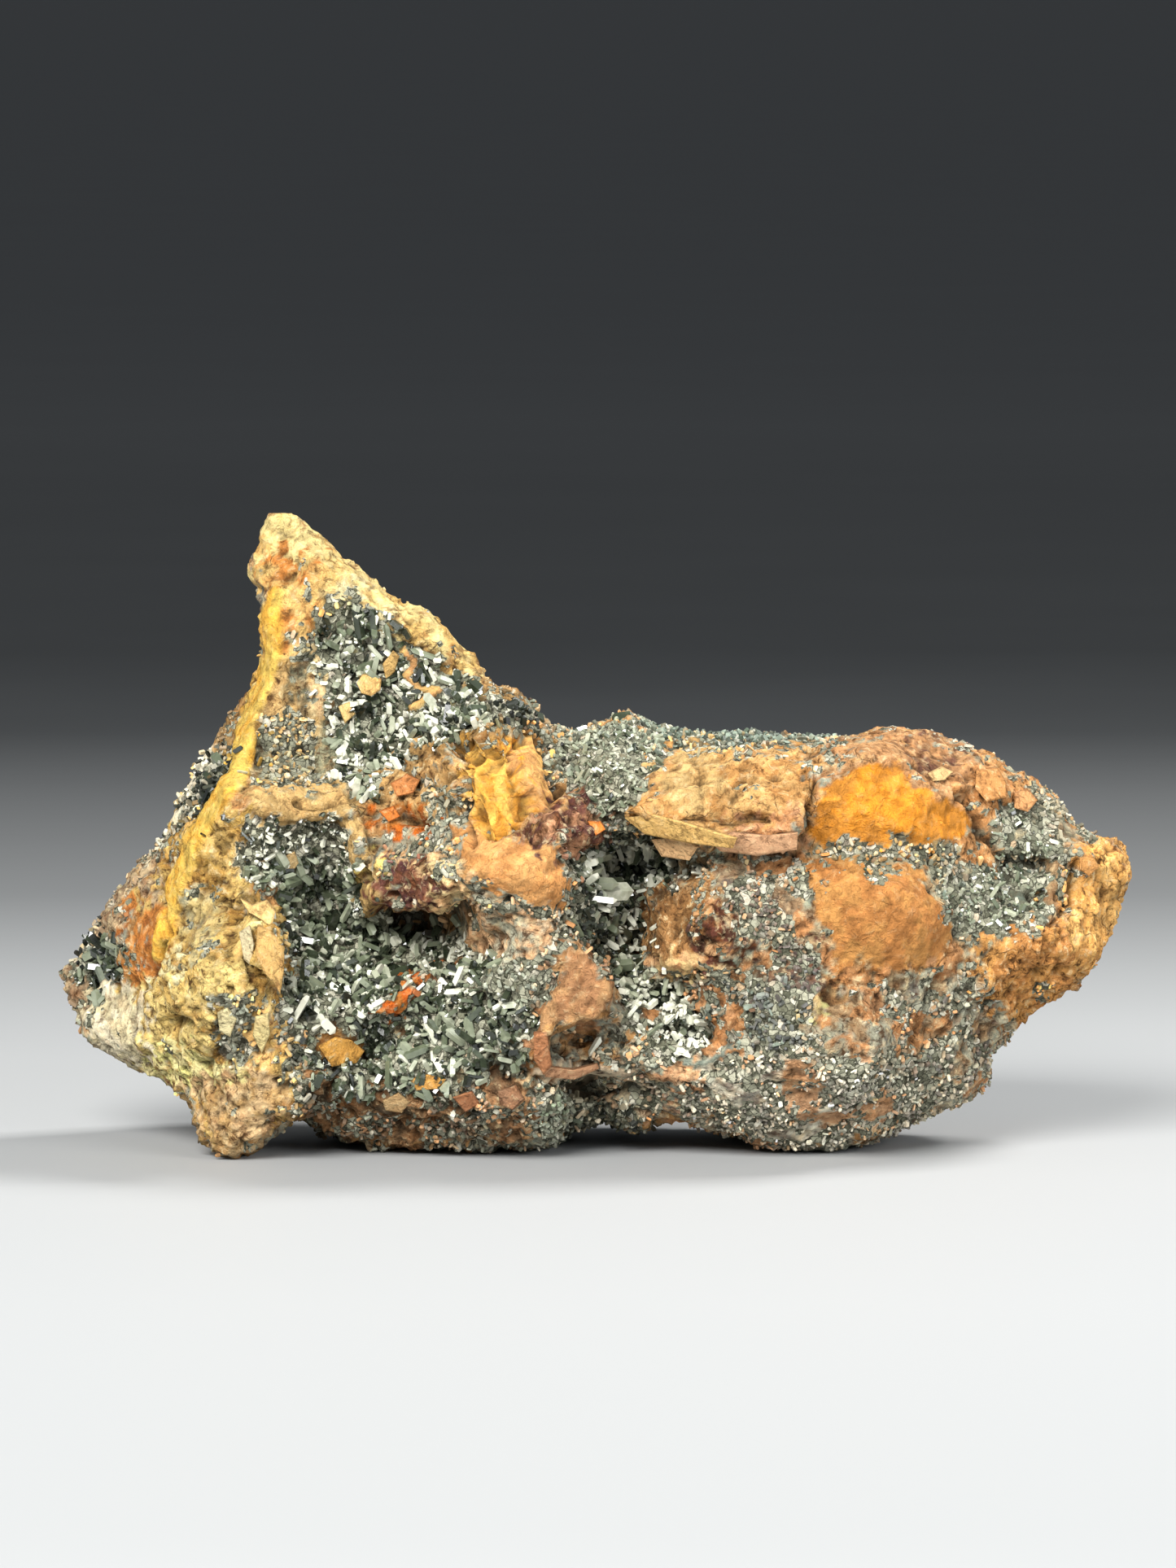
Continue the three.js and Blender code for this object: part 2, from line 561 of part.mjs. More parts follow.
function crystalSolids(crust, random) {
  return crystalFeet(crust, random).map(({ foot, facing }) => {
    const length = crust.long * (0.75 + 0.5 * random());
    const geometry = crystalGeometry(0.5 + 0.25 * random(), length + CRYSTAL_SINK, 0.6 + 0.25 * random());
    const tilt = new THREE.Vector3(random() - 0.5, random() - 0.5, random() - 0.5);
    const aim = facing.clone().add(tilt).normalize();
    const turn = new THREE.Quaternion().setFromUnitVectors(new THREE.Vector3(0, 0, 1), aim);
    geometry.rotateZ(random() * Math.PI).applyQuaternion(turn);
    const start = foot.clone().addScaledVector(facing, CRUST_SKIN - CRYSTAL_SINK);
    return solidOf(geometry.translate(start.x, start.y, start.z));
  });
}

// The main piece, without the crumbs that a cut leaves beside it
function largestPiece(solid) {
  const pieces = solid.decompose();
  return pieces.sort((a, b) => b.volume() - a.volume())[0];
}

const ground = groundSolid();
const matrix = largestPiece(matrixSolid(0).subtract(ground));
const matrixClearance = matrixSolid(CRUST_GAP).simplify(SKIN_TOLERANCE);
const skin = bodySolid(CRUST_SKIN).simplify(SKIN_TOLERANCE);

// A crust: the skin of the patch with its crystals, kept clear of the matrix
function crustSolid(crust, number) {
  const random = randomFrom(SEED + 101 * number);
  const [fromY, toY] = crust.side < 0 ? [NEAR_Y, 5] : [1, -NEAR_Y];
  let solid = skin.intersect(prismThrough(crust.outline, fromY, toY));
  for (const crystal of crystalSolids(crust, random)) solid = solid.add(crystal);
  return largestPiece(solid.subtract(matrixClearance).simplify(CRUST_TOLERANCE));
}

function namedMesh(name, solid, look) {
  const geometry = geometryOf(solid).toNonIndexed();
  geometry.computeVertexNormals();
  const mesh = new THREE.Mesh(geometry, new THREE.MeshStandardMaterial(look));
  mesh.name = name;
  return mesh;
}

const specimen = new THREE.Group();
specimen.add(namedMesh("gossan_matrix", matrix.simplify(MATRIX_TOLERANCE), COLOURS.matrix));
CRUSTS.forEach((crust, number) => {
  specimen.add(namedMesh(crust.name, crustSolid(crust, number), COLOURS.olivenite));
});
const middle = new THREE.Box3().setFromObject(specimen).getCenter(new THREE.Vector3());
specimen.position.set(-middle.x, -middle.y, 0);

export default specimen;
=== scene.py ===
import math

import bpy
import numpy as np
from mathutils import Matrix, Vector
from mathutils.bvhtree import BVHTree


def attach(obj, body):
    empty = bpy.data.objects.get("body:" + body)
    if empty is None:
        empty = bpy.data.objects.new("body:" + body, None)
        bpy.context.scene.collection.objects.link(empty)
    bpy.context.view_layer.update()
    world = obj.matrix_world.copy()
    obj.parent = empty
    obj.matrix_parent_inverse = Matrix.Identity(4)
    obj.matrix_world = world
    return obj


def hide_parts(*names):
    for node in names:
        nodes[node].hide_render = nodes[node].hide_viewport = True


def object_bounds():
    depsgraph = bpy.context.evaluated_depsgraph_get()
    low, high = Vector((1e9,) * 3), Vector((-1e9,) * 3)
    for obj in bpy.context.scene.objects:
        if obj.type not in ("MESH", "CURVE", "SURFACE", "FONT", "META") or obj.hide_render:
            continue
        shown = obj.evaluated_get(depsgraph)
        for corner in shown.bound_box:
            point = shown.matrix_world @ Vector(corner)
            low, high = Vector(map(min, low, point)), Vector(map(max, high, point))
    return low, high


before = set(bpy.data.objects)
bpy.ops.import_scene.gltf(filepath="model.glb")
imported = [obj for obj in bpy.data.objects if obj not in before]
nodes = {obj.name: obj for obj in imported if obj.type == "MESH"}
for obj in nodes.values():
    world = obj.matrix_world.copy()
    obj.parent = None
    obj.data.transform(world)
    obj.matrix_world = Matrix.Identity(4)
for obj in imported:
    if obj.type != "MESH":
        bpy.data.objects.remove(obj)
first_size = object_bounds()

MM = 0.001
SEED = 7
CELL = 0.152  # spacing of the rock's corners
GRAIN = 0.36  # size of the rock's packed grains and crumbs
HOP = 34  # how far a grain may look for its tone, in picture units
FRONT_DEPTH = 2  # evening out and lifting of the front reach back to this y
MARGIN = 0.02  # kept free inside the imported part's box
BOX_LOW, BOX_HIGH = (np.array(corner) / MM for corner in first_size)

# How the front picture is taken: places on it are in picture units, across and down
TILT = math.radians(5)
DISTANCE = 400
UNITS_PER_MM = 29.422
PICTURE_CENTRE = np.array((722.5, 963.5))
AIM = np.array((-0.2098, 0.5954, 15.1))


def picture(points):
    """Where points of the specimen are seen on the front picture"""
    x, y, z = (points - AIM).T
    y = y + DISTANCE * math.cos(TILT)
    z = z - DISTANCE * math.sin(TILT)
    depth = y * math.cos(TILT) - z * math.sin(TILT)
    scale = UNITS_PER_MM * DISTANCE / depth
    up = y * math.sin(TILT) + z * math.cos(TILT)
    return np.stack((PICTURE_CENTRE[0] + x * scale, PICTURE_CENTRE[1] - up * scale), 1)


def sight(place):
    """Eye and direction of the line of sight through a place of the front picture"""
    right, down = (np.array(place) - PICTURE_CENTRE) / (UNITS_PER_MM * DISTANCE)
    ahead = np.array((0, math.cos(TILT), -math.sin(TILT)))
    up = np.array((0, math.sin(TILT), math.cos(TILT)))
    way = ahead + right * np.array((1, 0, 0)) - down * up
    return AIM - ahead * DISTANCE, way / np.linalg.norm(way)


# Noise in space, the same on every run


def cell_random(cells, seed):
    """A number from 0 to 1 for each cell of a grid in space"""
    h = cells[..., 0] * 73856093 ^ cells[..., 1] * 19349663 ^ cells[..., 2] * 83492791 ^ (seed + 1) * 40503
    h = (h ^ h >> 13) * 1274126177 & 0x7FFFFFFF
    h = (h ^ h >> 15) * 668265263 & 0x7FFFFFFF
    return ((h ^ h >> 16) & 0xFFFFFF) / 0xFFFFFF


def smooth_noise(points, size, seed):
    """Smooth noise from -1 to 1 with features of that size"""
    at = points / size + seed * 17.31
    base = np.floor(at).astype(np.int64)
    f = at - base
    f = f * f * f * (f * (f * 6 - 15) + 10)
    total = 0
    for corner in np.ndindex(2, 2, 2):
        weight = np.prod(np.where(corner, f, 1 - f), axis=1)
        total = total + weight * cell_random(base + corner, seed)
    return total * 2 - 1


def layered_noise(points, size, seed, layers=4, ridged=False):
    """Smooth noise with finer and weaker noise over it"""
    total, height, most = 0, 1.0, 0
    for layer in range(layers):
        value = smooth_noise(points, size / 2**layer, seed + layer)
        total = total + height * (1 - 2 * np.abs(value) if ridged else value)
        most += height
        height *= 0.52
    return total / most


def near_grains(points, size, seed):
    """The grains of space that may lie nearest to points: cell, and way from the grain's middle"""
    at = points / size
    base = np.floor(at - 0.5).astype(np.int64)
    for corner in np.ndindex(2, 2, 2):
        cell = base + corner
        middle = cell + 0.15 + 0.7 * np.stack([cell_random(cell, seed + k) for k in range(3)], 1)
        yield cell, at - middle


def grains(points, size, seed):
    """Packed grains: distance from the nearest one's middle, distance on to the next, and its number"""
    near = np.full(len(points), 9.0)
    second = np.full(len(points), 9.0)
    number = np.zeros(len(points))
    for cell, away in near_grains(points, size, seed):
        distance = np.linalg.norm(away, axis=1)
        closer = distance < near
        second = np.where(closer, near, np.minimum(second, distance))
        number = np.where(closer, cell_random(cell, seed + 3), number)
        near = np.minimum(near, distance)
    return near, second - near, number


def chips(points, size, seed):
    """Broken facets of that size: each chip of the rock slopes its own way"""
    near = np.full(len(points), 9.0)
    slope = np.zeros(len(points))
    for cell, away in near_grains(points, size, seed):
        way = np.stack([cell_random(cell, seed + 3 + k) - 0.5 for k in range(3)], 1)
        distance = np.linalg.norm(away, axis=1)
        closer = distance < near
        rise = np.einsum("ij,ij->i", away, way) + 0.5 * (cell_random(cell, seed + 6) - 0.5)
        slope = np.where(closer, rise, slope)
        near = np.minimum(near, distance)
    return slope


def noise_ways(points, size, seed, layers, axes=3):
    """Layered noise along each axis"""
    return np.stack([layered_noise(points, size, seed + k, layers) for k in range(axes)], 1)


def step(value, low, high):
    """0 below low, 1 above high, and smooth between"""
    t = np.clip((value - low) / (high - low), 0, 1)
    return t * t * (3 - 2 * t)


def pairs(numbers):
    """Places of the picture from their numbers, across and down in turn"""
    return list(zip(numbers[::2], numbers[1::2]))


def inside(outline, places):
    """How far inside an outline of the picture places are, negative outside"""
    corners = pairs(outline)
    near = np.full(len(places), 1e9)
    within = np.zeros(len(places), bool)
    for (ax, ay), (bx, by) in zip(corners, corners[1:] + corners[:1]):
        near = np.minimum(near, from_line([ax, ay, bx, by], places))
        if ay != by:
            crossing = (ay > places[:, 1]) != (by > places[:, 1])
            within ^= crossing & (places[:, 0] < (bx - ax) * (places[:, 1] - ay) / (by - ay) + ax)
    return np.where(within, near, -near)


def from_line(line, places):
    """Distance from a line of the picture"""
    near = np.full(len(places), 1e9)
    bends = pairs(line)
    for start, end in zip(bends, bends[1:]):
        edge = np.subtract(end, start)
        away = places - start
        t = np.clip(away @ edge / max(edge @ edge, 1e-9), 0, 1)
        near = np.minimum(near, np.hypot(*(away - t[:, None] * edge).T))
    return near


def linear(tone):
    """A tone written as 0 to 255, as the light it gives back"""
    c = np.array(tone) / 255
    return np.where(c > 0.04045, ((c + 0.055) / 1.055) ** 2.4, c / 12.92)


# The rock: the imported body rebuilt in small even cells


def fine_copy(node):
    """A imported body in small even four-sided faces: its corners, in mm, and faces"""
    mesh = nodes[node].data.copy()
    mesh.transform(Matrix.Scale(1 / MM, 4))
    rough = bpy.data.objects.new("rough", mesh)
    bpy.context.scene.collection.objects.link(rough)
    cells = rough.modifiers.new("cells", "REMESH")
    cells.mode = "VOXEL"
    cells.voxel_size = CELL
    seen = rough.evaluated_get(bpy.context.evaluated_depsgraph_get())
    fine = bpy.data.meshes.new_from_object(seen)
    corners = np.zeros(len(fine.vertices) * 3)
    fine.vertices.foreach_get("co", corners)
    faces = np.zeros(len(fine.loops), np.int64)
    fine.loops.foreach_get("vertex_index", faces)
    bpy.data.objects.remove(rough)
    bpy.data.meshes.remove(mesh)
    bpy.data.meshes.remove(fine)
    return corners.reshape(-1, 3), faces.reshape(-1, 4)


def evened(values, edges, rounds, share=0.5):
    """Values at the corners, each drawn towards the average of its neighbours"""
    a, b = np.concatenate((edges, edges[:, ::-1])).T
    count = np.bincount(a, minlength=len(values))
    for _ in range(rounds):
        if values.ndim == 1:
            around = np.bincount(a, values[b], len(values)) / count
        else:
            sums = [np.bincount(a, values[b, k], len(values)) for k in range(values.shape[1])]
            around = np.stack(sums, 1) / count[:, None]
        values = values + share * (around - values)
    return values


def face_spans(at, faces):
    """Normals of four-sided faces, each as long as twice the face's area"""
    return np.cross(at[faces[:, 2]] - at[faces[:, 0]], at[faces[:, 3]] - at[faces[:, 1]])


def corner_normals(at, faces):
    spans = face_spans(at, faces)
    normals = np.stack([np.bincount(faces.ravel(), np.repeat(spans[:, k], 4), len(at)) for k in range(3)], 1)
    return normals / np.maximum(np.linalg.norm(normals, axis=1), 1e-12)[:, None]


at, faces = fine_copy("gossan_matrix")
edges = np.concatenate([faces[:, (k, (k + 1) % 4)] for k in range(4)])
edges = np.unique(np.sort(edges, axis=1), axis=0)
# Evened out and swollen in turn, which takes the cells' steps off and keeps the size
for _ in range(4):
    at = evened(at, edges, 1, 0.6)
    at = evened(at, edges, 1, -0.56)
at = evened(at, edges, 2, 0.5)
print("rock corners", len(at), "faces", len(faces))

# Tones of the surface, as 0 to 255
CREAM = (240, 222, 150)
YELLOW = (222, 186, 92)
ORANGE = (200, 130, 64)
RUST = (172, 104, 52)
TAN = (222, 182, 112)
PINK = (202, 150, 98)
PALE = (228, 216, 184)
GREY = (148, 152, 134)
DARK = (62, 68, 54)
# BLACK, under the crystals of the basin and the cleft, is partly the rock's own dark tone and partly painted
# shade that keeps the gaps between crystals dark
BLACK = (34, 38, 28)

# Regions of the front, later ones over earlier ones: name, two tones, share of crystal grains, raise in
# mm, ruggedness in mm, width of the border in picture units, outline
REGIONS = [
    ("fin", (162, 130, 84), (150, 114, 66), 0.1, 0, 0.24, 14,
     [300, 620, 420, 640, 660, 850, 620, 900, 430, 980, 300, 970, 240, 930, 330, 780]),
    # fin_rim: a pale band along the fin's top rim, partly its own tone and partly painted highlight where the
    # light catches the rim
    ("fin_rim", (214, 192, 130), (200, 164, 98), 0, 0.15, 0.14, 8,
     [320, 620, 352, 622, 402, 660, 425, 682, 500, 735, 545, 750, 580, 800, 600, 838, 560, 822, 520, 786,
      480, 760, 440, 742, 396, 712, 356, 700, 330, 722, 300, 706]),
    ("fin_rust", ORANGE, TAN, 0.1, 0, 0.15, 8,
     [316, 684, 345, 672, 398, 706, 402, 756, 380, 800, 342, 800, 332, 745]),
    ("fin_grey", (222, 206, 156), (226, 190, 124), 0.1, 0, 0.1, 8,
     [398, 716, 450, 722, 474, 756, 440, 762, 398, 750]),
    ("fin_mottle", (128, 126, 100), (196, 160, 104), 0.5, 0, 0.2, 12,
     [345, 800, 400, 780, 420, 880, 440, 975, 330, 975, 296, 960, 300, 900, 325, 850]),
    ("fin_lump", (222, 194, 142), (190, 160, 118), 0.1, 0.3, 0.2, 7,
     [380, 822, 402, 815, 408, 860, 400, 900, 378, 890]),
    ("upper_druse", (134, 130, 96), (60, 62, 46), 0.9, 0, 0.1, 9,
     [400, 752, 440, 748, 480, 768, 520, 792, 560, 832, 600, 850, 645, 870, 648, 892, 580, 885, 560, 905,
      520, 930, 480, 960, 450, 990, 425, 970, 410, 900, 400, 850, 385, 800]),
    ("saddle", (16, 20, 14), (32, 36, 26), 1, 0, 0.08, 9,
     [600, 845, 650, 858, 682, 896, 700, 900, 700, 935, 676, 940, 650, 900, 600, 890]),
    ("side_druse", (40, 44, 32), (24, 28, 20), 0.9, -0.1, 0.06, 7,
     [275, 900, 294, 912, 286, 950, 262, 988, 250, 1012, 225, 1047, 200, 1045, 180, 1060, 160, 1080, 200, 1010,
      236, 940]),
    ("side_edge", (255, 236, 196), (246, 236, 208), 0, 0, 0.07, 6,
     [262, 905, 240, 945, 222, 985, 196, 1030, 160, 1075, 120, 1120, 100, 1110, 190, 1000, 236, 915]),
    ("end_knob", (206, 180, 140), (150, 126, 98), 0.2, 0, 0.25, 8,
     [50, 1140, 130, 1090, 190, 1050, 200, 1080, 160, 1110, 140, 1150, 130, 1200, 110, 1245, 90, 1262,
      50, 1230]),
    ("end_druse", (30, 34, 24), (20, 24, 16), 0.9, -0.1, 0.1, 7,
     [78, 1172, 104, 1150, 134, 1150, 140, 1185, 126, 1218, 104, 1238, 84, 1214]),
    ("block", (200, 168, 100), (176, 136, 70), 0.1, 0, 0.24, 12,
     [150, 1190, 176, 1110, 215, 1020, 250, 1000, 345, 1000, 310, 1050, 305, 1100, 350, 1115, 352, 1230,
      340, 1262, 356, 1300, 356, 1400, 230, 1420, 222, 1345, 150, 1320, 130, 1240]),
    ("block_pale", PALE, (214, 200, 160), 0.15, 0, 0.15, 14,
     [96, 1245, 140, 1198, 180, 1215, 186, 1320, 150, 1320, 96, 1290]),
    ("block_mottle", (206, 182, 120), (170, 164, 130), 0.35, 0, 0.15, 10,
     [226, 1085, 262, 1090, 270, 1150, 262, 1200, 228, 1196, 220, 1130]),
    ("block_top", (214, 178, 108), (196, 158, 84), 0.1, 0.1, 0.2, 8,
     [250, 1005, 330, 1003, 312, 1040, 300, 1085, 262, 1075, 240, 1040]),
    ("block_rust", ORANGE, RUST, 0, 0, 0.12, 12,
     [148, 1150, 172, 1108, 196, 1106, 200, 1160, 180, 1196, 150, 1196]),
    ("block_yellow", (232, 204, 130), (206, 172, 100), 0, 0.1, 0.26, 10,
     [172, 1205, 250, 1180, 305, 1190, 300, 1225, 262, 1245, 250, 1330, 190, 1325, 170, 1260]),
    ("block_grey", GREY, DARK, 0.8, -0.1, 0.1, 7,
     [268, 1234, 322, 1222, 334, 1262, 322, 1306, 280, 1306, 264, 1268]),
    ("block_olive", (228, 218, 138), (240, 226, 160), 0.1, 0, 0.2, 8,
     [170, 1288, 215, 1282, 290, 1308, 300, 1345, 240, 1350, 200, 1330]),
    ("block_spot", (255, 244, 190), (250, 236, 178), 0.05, 0, 0.2, 7,
     [182, 1182, 212, 1176, 226, 1192, 208, 1208, 184, 1204]),
    ("orange_edge", (246, 200, 116), (230, 184, 116), 0, 0.05, 0.18, 7,
     [318, 1252, 340, 1240, 354, 1262, 342, 1328, 316, 1348, 310, 1300]),
    ("foot", (186, 150, 98), (206, 174, 128), 0.1, -0.25, 0.22, 10,
     [228, 1325, 300, 1318, 350, 1318, 346, 1400, 300, 1432, 262, 1432, 232, 1396]),
    # basin: near-black base, partly painted shade between the crystals
    ("basin", BLACK, DARK, 1, -0.1, 0.1, 9,
     [300, 1003, 415, 1003, 436, 1040, 452, 1090, 470, 1128, 540, 1150, 562, 1184, 505, 1204, 445, 1240,
      405, 1262, 370, 1292, 347, 1242, 355, 1200, 350, 1140, 340, 1104, 308, 1092, 290, 1052]),
    ("basin_frost", (244, 244, 222), (226, 228, 206), 1, 0, 0.1, 10,
     [300, 1003, 415, 1003, 436, 1040, 425, 1060, 330, 1056, 300, 1080, 290, 1050]),
    ("ledge", (184, 152, 98), (200, 164, 106), 0.1, 0.25, 0.12, 6,
     [300, 966, 330, 962, 424, 966, 440, 1000, 458, 1060, 474, 1130, 452, 1128, 440, 1078, 428, 1032, 410, 1004,
      300, 1002]),
    ("lump", (182, 144, 90), (206, 162, 104), 0.25, 0.1, 0.25, 7,
     [452, 980, 470, 950, 520, 938, 552, 925, 572, 960, 562, 1000, 520, 1012, 470, 1012]),
    ("lump_grey", (168, 160, 134), GREY, 0.75, 0, 0.1, 8,
     [520, 962, 548, 958, 552, 1010, 540, 1060, 478, 1062, 468, 1024, 510, 1020]),
    ("purple_lump", (232, 184, 132), (252, 220, 160), 0.12, 0.1, 0.3, 6,
     [462, 1070, 500, 1052, 566, 1050, 590, 1075, 584, 1112, 540, 1128, 480, 1120]),
    ("purple_half", (86, 54, 54), (132, 86, 66), 0.1, 0.1, 0.28, 6,
     [466, 1076, 486, 1062, 516, 1064, 536, 1084, 534, 1116, 500, 1132, 470, 1120]),
    ("orange_spot", (186, 96, 32), (176, 112, 52), 0, 0.1, 0.2, 5,
     [456, 1000, 476, 994, 502, 1000, 508, 1016, 484, 1024, 460, 1018]),
    ("yellow_spot", (246, 222, 120), (236, 204, 128), 0, 0.1, 0.2, 4,
     [446, 1058, 458, 1046, 466, 1062, 460, 1084, 450, 1082]),
    ("central_low", (222, 176, 130), (180, 178, 154), 0.3, 0, 0.2, 12,
     [580, 1080, 640, 1105, 694, 1120, 700, 1160, 682, 1200, 660, 1265, 590, 1250, 560, 1190, 566, 1130]),
    ("central_fine", GREY, DARK, 0.9, 0, 0.12, 12,
     [560, 1175, 640, 1180, 692, 1165, 680, 1215, 652, 1270, 560, 1290, 540, 1230]),
    ("pocket", (226, 156, 58), (228, 176, 86), 0, -0.75, 0.05, 30,
     [558, 950, 562, 908, 572, 888, 588, 902, 650, 900, 670, 920, 680, 976, 664, 992, 630, 1002, 605, 1022,
      575, 1022, 558, 1000]),
    ("pocket_rim", (206, 152, 92), (222, 172, 100), 0, 0, 0.08, 8,
     [646, 898, 670, 902, 678, 960, 674, 988, 654, 984, 650, 940]),
    ("lobe", (220, 162, 100), (208, 146, 86), 0, 0, 0.06, 5,
     [560, 1000, 606, 1020, 650, 1032, 690, 1062, 700, 1090, 690, 1122, 640, 1112, 600, 1090, 576, 1062,
      560, 1030]),
    ("red_lump", (88, 54, 50), (176, 128, 94), 0.2, 0.1, 0.34, 6,
     [638, 1010, 652, 990, 700, 985, 742, 996, 745, 1050, 712, 1066, 680, 1050, 650, 1032]),
    ("mound", (112, 120, 102), (136, 140, 120), 0.95, 0.1, 0.1, 10,
     [680, 900, 706, 896, 751, 884, 778, 872, 802, 890, 815, 905, 800, 950, 776, 990, 740, 1004, 706, 985,
      684, 940]),
    ("top_strip", (122, 134, 120), (60, 70, 58), 0.9, 0, 0.1, 8,
     [795, 880, 850, 890, 920, 890, 1045, 895, 1035, 925, 960, 915, 900, 925, 850, 930, 812, 920]),
    # cleft: near-black base, partly painted shade between the crystals
    ("cleft", BLACK, DARK, 1, -0.15, 0.1, 9,
     [745, 1005, 790, 1012, 850, 1030, 855, 1064, 800, 1100, 790, 1150, 800, 1190, 850, 1220, 880, 1285,
      840, 1300, 800, 1250, 760, 1215, 752, 1180, 702, 1150, 696, 1090, 700, 1050, 742, 1040]),
    ("right_mass", (178, 148, 108), (164, 172, 150), 0.42, 0, 0.2, 14,
     [800, 1090, 860, 1040, 1000, 1040, 1200, 1020, 1330, 1040, 1330, 1150, 1240, 1300, 1100, 1300, 880, 1290,
      800, 1190]),
    ("tan_plate", (208, 164, 104), (196, 144, 84), 0.05, 0.12, 0.14, 5,
     [765, 1000, 800, 958, 812, 925, 828, 914, 852, 930, 900, 924, 935, 930, 960, 914, 986, 925, 1002, 960,
      992, 1015, 972, 1044, 900, 1044, 860, 1022, 800, 1020]),
    ("plate_pale", (206, 172, 114), (198, 158, 100), 0.05, 0.1, 0.12, 7,
     [806, 962, 832, 918, 868, 914, 892, 930, 888, 972, 850, 992, 812, 990]),
    ("plate_pink", (222, 168, 124), (206, 146, 96), 0.05, 0.1, 0.14, 6,
     [884, 1012, 930, 1004, 984, 1002, 984, 1038, 930, 1046, 890, 1038]),
    ("cap", (192, 146, 100), (186, 136, 90), 0.05, 0.1, 0.15, 8,
     [1000, 960, 1030, 915, 1100, 893, 1145, 893, 1200, 922, 1216, 960, 1190, 1000, 1150, 965, 1060, 945,
      1012, 960, 1005, 1020, 990, 1010]),
    ("cap_purple", (106, 72, 58), (156, 116, 80), 0.1, 0, 0.15, 8,
     [1110, 905, 1172, 910, 1186, 940, 1150, 952, 1112, 940]),
    ("right_cap", (196, 138, 84), PINK, 0.1, 0, 0.18, 9,
     [1180, 980, 1200, 925, 1238, 925, 1248, 950, 1280, 955, 1290, 1000, 1240, 1080, 1186, 1072, 1180, 1040,
      1206, 1018]),
    ("lens", (216, 138, 42), (216, 144, 58), 0, 0, 0.04, 6,
     [1000, 1012, 1012, 962, 1060, 946, 1110, 951, 1150, 966, 1182, 991, 1206, 1016, 1190, 1030, 1140, 1042,
      1100, 1038, 1050, 1030, 1005, 1040]),
    ("shoulder", (150, 142, 118), (130, 124, 102), 0.6, 0, 0.15, 10,
     [1215, 985, 1262, 968, 1310, 985, 1335, 1040, 1320, 1060, 1290, 1070, 1240, 1066, 1214, 1030]),
    ("shoulder_low", (176, 150, 112), (150, 118, 84), 0.35, 0, 0.25, 10,
     [1262, 1052, 1330, 1045, 1335, 1100, 1310, 1150, 1262, 1135]),
    ("blue_patch", (104, 116, 104), (112, 114, 96), 0.85, 0, 0.1, 12,
     [1150, 1075, 1200, 1066, 1285, 1066, 1288, 1120, 1240, 1150, 1190, 1150, 1166, 1120]),
    ("right_lump", (206, 150, 84), (198, 138, 78), 0.05, 0.1, 0.28, 10,
     [1200, 1150, 1290, 1132, 1322, 1100, 1330, 1060, 1345, 1030, 1400, 1030, 1400, 1100, 1362, 1185,
      1300, 1232, 1230, 1262, 1206, 1220]),
    ("right_edge", (230, 170, 94), (234, 182, 108), 0, 0.1, 0.2, 9,
     [1320, 1110, 1345, 1036, 1392, 1040, 1400, 1090, 1362, 1180, 1330, 1185, 1312, 1160]),
    ("strip", (136, 140, 112), (176, 150, 104), 0.9, -0.06, 0.06, 6,
     [985, 1042, 1050, 1030, 1180, 1038, 1186, 1062, 1100, 1062, 1048, 1052, 1000, 1062]),
    ("orange_patch", (178, 120, 66), (190, 136, 76), 0.06, 0, 0.06, 5,
     [975, 1062, 1040, 1054, 1092, 1064, 1132, 1064, 1146, 1100, 1172, 1130, 1174, 1160, 1160, 1182, 1100, 1196,
      1060, 1200, 1038, 1180, 1010, 1150, 1000, 1110, 980, 1086]),
    ("dark_heart", (98, 64, 38), (128, 84, 50), 0, -0.35, 0.15, 6,
     [824, 1128, 842, 1122, 856, 1134, 850, 1152, 830, 1150]),
    ("round_spot", (96, 116, 98), (100, 112, 90), 0.85, -0.05, 0.05, 5,
     [1050, 1062, 1065, 1052, 1080, 1060, 1084, 1076, 1068, 1088, 1052, 1080]),
    ("brown_lump", (180, 134, 84), (146, 106, 64), 0.2, 0, 0.22, 7,
     [795, 1100, 830, 1088, 872, 1092, 880, 1150, 850, 1180, 800, 1172, 790, 1140]),
    ("dark_red", (100, 58, 46), (76, 50, 38), 0.15, 0, 0.3, 9,
     [856, 1130, 905, 1128, 920, 1165, 900, 1188, 862, 1180]),
    ("tan_stripe", (232, 196, 136), (214, 166, 118), 0.05, 0.15, 0.1, 6,
     [800, 1164, 845, 1172, 885, 1188, 880, 1208, 830, 1196, 800, 1184]),
    ("mottle", (138, 122, 98), (166, 134, 100), 0.6, 0, 0.15, 12,
     [872, 1050, 980, 1050, 1000, 1110, 990, 1150, 930, 1150, 880, 1110]),
    ("reddish", (122, 82, 64), (126, 112, 90), 0.3, 0.05, 0.2, 9,
     [928, 1160, 990, 1155, 1010, 1185, 990, 1212, 930, 1204]),
    ("low_orange", (158, 118, 76), (164, 134, 92), 0.3, 0.05, 0.2, 10,
     [1000, 1196, 1070, 1188, 1082, 1240, 1040, 1264, 1000, 1250]),
    ("low_green", (192, 186, 124), (200, 172, 120), 0.35, 0, 0.15, 10,
     [958, 1226, 1030, 1226, 1044, 1262, 1000, 1282, 956, 1266]),
    ("granular", (122, 132, 118), (58, 64, 52), 0.95, 0, 0.15, 12,
     [790, 1200, 880, 1195, 1000, 1205, 1000, 1300, 880, 1300, 820, 1285, 780, 1240]),
    ("low_mixed", (156, 128, 94), (160, 158, 136), 0.5, 0, 0.2, 12,
     [1000, 1262, 1060, 1200, 1180, 1190, 1225, 1240, 1225, 1320, 1180, 1345, 1080, 1360, 1000, 1330]),
    ("belly", (222, 216, 192), (200, 186, 158), 0.7, 0, 0.12, 12,
